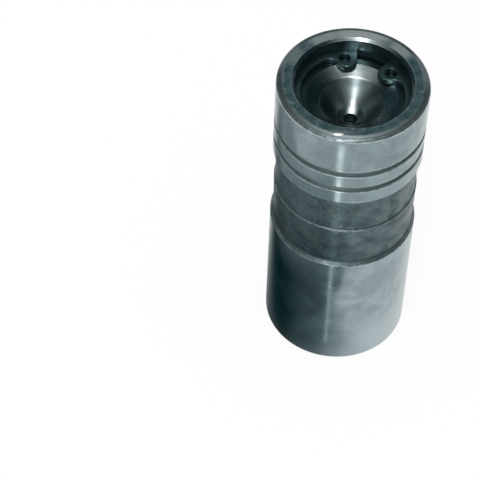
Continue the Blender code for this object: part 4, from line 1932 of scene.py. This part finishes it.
@dataclass
class Camera:
    """The camera, at the photograph's place and angle."""

    place: Triple = (-15.015, -189.304, 255.127)
    pitch: float = 51.742
    roll: float = -1.514
    lens: float = 151.647
    sensor: float = 36.0
    near: float = 10.0
    far: float = 20000.0

    def build(self) -> None:
        """Sets the camera up."""
        pitch, roll = math.radians(self.pitch), math.radians(self.roll)
        forward = Vector((0.0, math.cos(pitch), -math.sin(pitch)))
        level = Vector((1.0, 0.0, 0.0))
        down = Vector((0.0, -math.sin(pitch), -math.cos(pitch)))
        right = level * math.cos(roll) + down * math.sin(roll)
        below = down * math.cos(roll) - level * math.sin(roll)
        seen = bpy.data.cameras.new("camera")
        seen.sensor_width = self.sensor
        seen.lens = self.lens
        seen.clip_start = self.near * MM
        seen.clip_end = self.far * MM
        camera = placed("camera", seen)
        turn = Matrix((right, -below, -forward)).transposed().to_4x4()
        camera.matrix_world = Matrix.Translation(Vector(self.place) * MM) @ turn
        bpy.context.scene.camera = camera


@dataclass
class Studio:
    """The pale floor, the room, the lamps and the camera."""

    floor_reach: float = 3000.0
    floor_drop: float = 0.02
    paper: Colour = (0.96, 0.96, 0.96)
    grain_size: float = 0.8
    grain_tone: float = 0.98
    paper_fade: Pair = (90.0, 260.0)
    shine_share: float = 0.88
    daylight: Colour = (0.76, 0.76, 0.76)
    room: Colour = (0.004, 0.024, 0.028)
    horizon: Colour = (0.45, 0.5, 0.52)
    horizon_fade: Pair = (0.01, 0.09)
    glows: tuple[Glow, ...] = (
        Glow(azimuth=-112.0, elevation=81.0, inner=3.0, outer=36.0, colour=(0.86, 0.86, 0.85)),
        Glow(azimuth=-103.0, elevation=22.0, inner=4.0, outer=62.0, colour=(0.4, 0.46, 0.47)),
        Glow(azimuth=87.0, elevation=50.0, inner=4.0, outer=34.0, colour=(0.11, 0.16, 0.17)),
    )
    lamps: tuple[SoftBox, ...] = (
        SoftBox(
            "strip", azimuth=-103.5, elevation=47.0, distance=700.0, width=150.0, length=1150.0, power=3.3
        ),
    )
    # The roll and the floor beside it glow with painted light and a painted shadow, seen only in the steel.
    roll: Roll = field(
        default_factory=lambda: Roll(
            start=(-6.7, -26.4),
            end=(-38.4, 13.0),
            radius=10.7,
            under=(0.006, 0.03, 0.033),
            top=(0.58, 0.64, 0.66),
            near_end=(0.3, 0.38, 0.4),
            lit=(15.0, 21.4),
            end_lit=(19.0, 1.0),
            floor=(0.98, 0.98, 0.98),
            shade_width=(22.0, 9.0),
            shade_start=(-1.5, 5.0),
            shade_end=(75.0, 58.0),
        )
    )
    ribbon: Ribbon = field(
        default_factory=lambda: Ribbon(
            azimuth=-99.8,
            distance=13.5,
            height=46.5,
            foot_width=0.2,
            top_width=0.58,
            foot_colour=(0.96, 1.04, 1.06),
            top_colour=(2.45, 2.33, 2.28),
            fade=(18.0, 32.0),
        )
    )
    camera: Camera = field(default_factory=Camera)

    def _floor(self) -> None:
        """Lays the floor, which shows white to the camera and in the steel and keeps the shadow."""
        made, nodes = new_paint("white_paper")
        grain = nodes.noise(nodes.place(), self.grain_size)
        paper = nodes.blend(grain, self.paper, tuple(part * self.grain_tone for part in self.paper))
        lit = nodes.add("ShaderNodeBsdfDiffuse", sockets={"Color": paper})
        ray = nodes.add("ShaderNodeLightPath").socket.node.outputs
        dim = nodes.length(nodes.place()).step(*self.paper_fade) * Value(nodes, ray["Is Glossy Ray"])
        pale = nodes.blend(dim, (1.0, 1.0, 1.0), self.horizon)
        white = nodes.add("ShaderNodeEmission", sockets={"Color": pale, "Strength": 1.0})
        seen = Value(nodes, ray["Is Camera Ray"]) + Value(nodes, ray["Is Glossy Ray"])
        seen = (seen + Value(nodes, ray["Is Transmission Ray"])) * self.shine_share
        nodes.surface(nodes.add("ShaderNodeMixShader", sockets={0: seen, 1: lit, 2: white}))
        reach, sides = self.floor_reach, ((-1, -1), (1, -1), (1, 1), (-1, 1))
        corners = [(reach * x, reach * y, -self.floor_drop) for x, y in sides]
        stage_piece("floor", corners, [(0, 1, 2, 3)], made, Seen.ALL)

    def _room(self) -> None:
        """Paints the room: pale to the floor, and dark to the steel with its soft patches of light."""
        world = bpy.data.worlds.new("room")
        bpy.context.scene.world = world
        world.use_nodes = True
        nodes = Nodes(world.node_tree)
        toward = nodes.add("ShaderNodeTexCoord", output="Generated")
        up = nodes.parts(toward)[2]
        light = nodes.blend(up.step(*self.horizon_fade), self.horizon, self.room)
        for glow in self.glows:
            middle = tuple(heading(glow.azimuth, glow.elevation))
            inner, outer = (math.cos(math.radians(angle)) for angle in (glow.inner, glow.outer))
            share = nodes.reach(toward, middle).step(outer, inner)
            light = nodes.blend(share, light, glow.colour)
        ray = nodes.add("ShaderNodeLightPath").socket.node.outputs
        light = nodes.blend(Value(nodes, ray["Is Diffuse Ray"]), light, self.daylight)
        light = nodes.blend(Value(nodes, ray["Is Camera Ray"]), light, (1.0, 1.0, 1.0))
        shining = nodes.add("ShaderNodeBackground", sockets={"Color": light, "Strength": 1.0})
        nodes.add("ShaderNodeOutputWorld", sockets={"Surface": shining})

    def build(self) -> None:
        """Builds the floor, the room, the lamps, the roll, the ribbon and the camera."""
        self._floor()
        self._room()
        low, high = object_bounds()
        for lamp in self.lamps:
            lamp.build((low + high) / 2)
        self.roll.build()
        self.ribbon.build()
        self.camera.build()
        bpy.context.scene.view_settings.view_transform = "Standard"


def main() -> None:
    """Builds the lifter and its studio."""
    logging.basicConfig(level=logging.INFO, format="%(message)s")
    pieces = (
        LifterBody(),
        RetainingRing(),
        PlungerSpring(),
        Plunger(),
        PushrodSeat(),
        MeteringDisc(),
        BallCage(),
        CheckBallSpring(),
        CheckBall(),
    )
    for piece in pieces:
        piece.build()
    Studio().build()


if __name__ == "__main__":
    main()
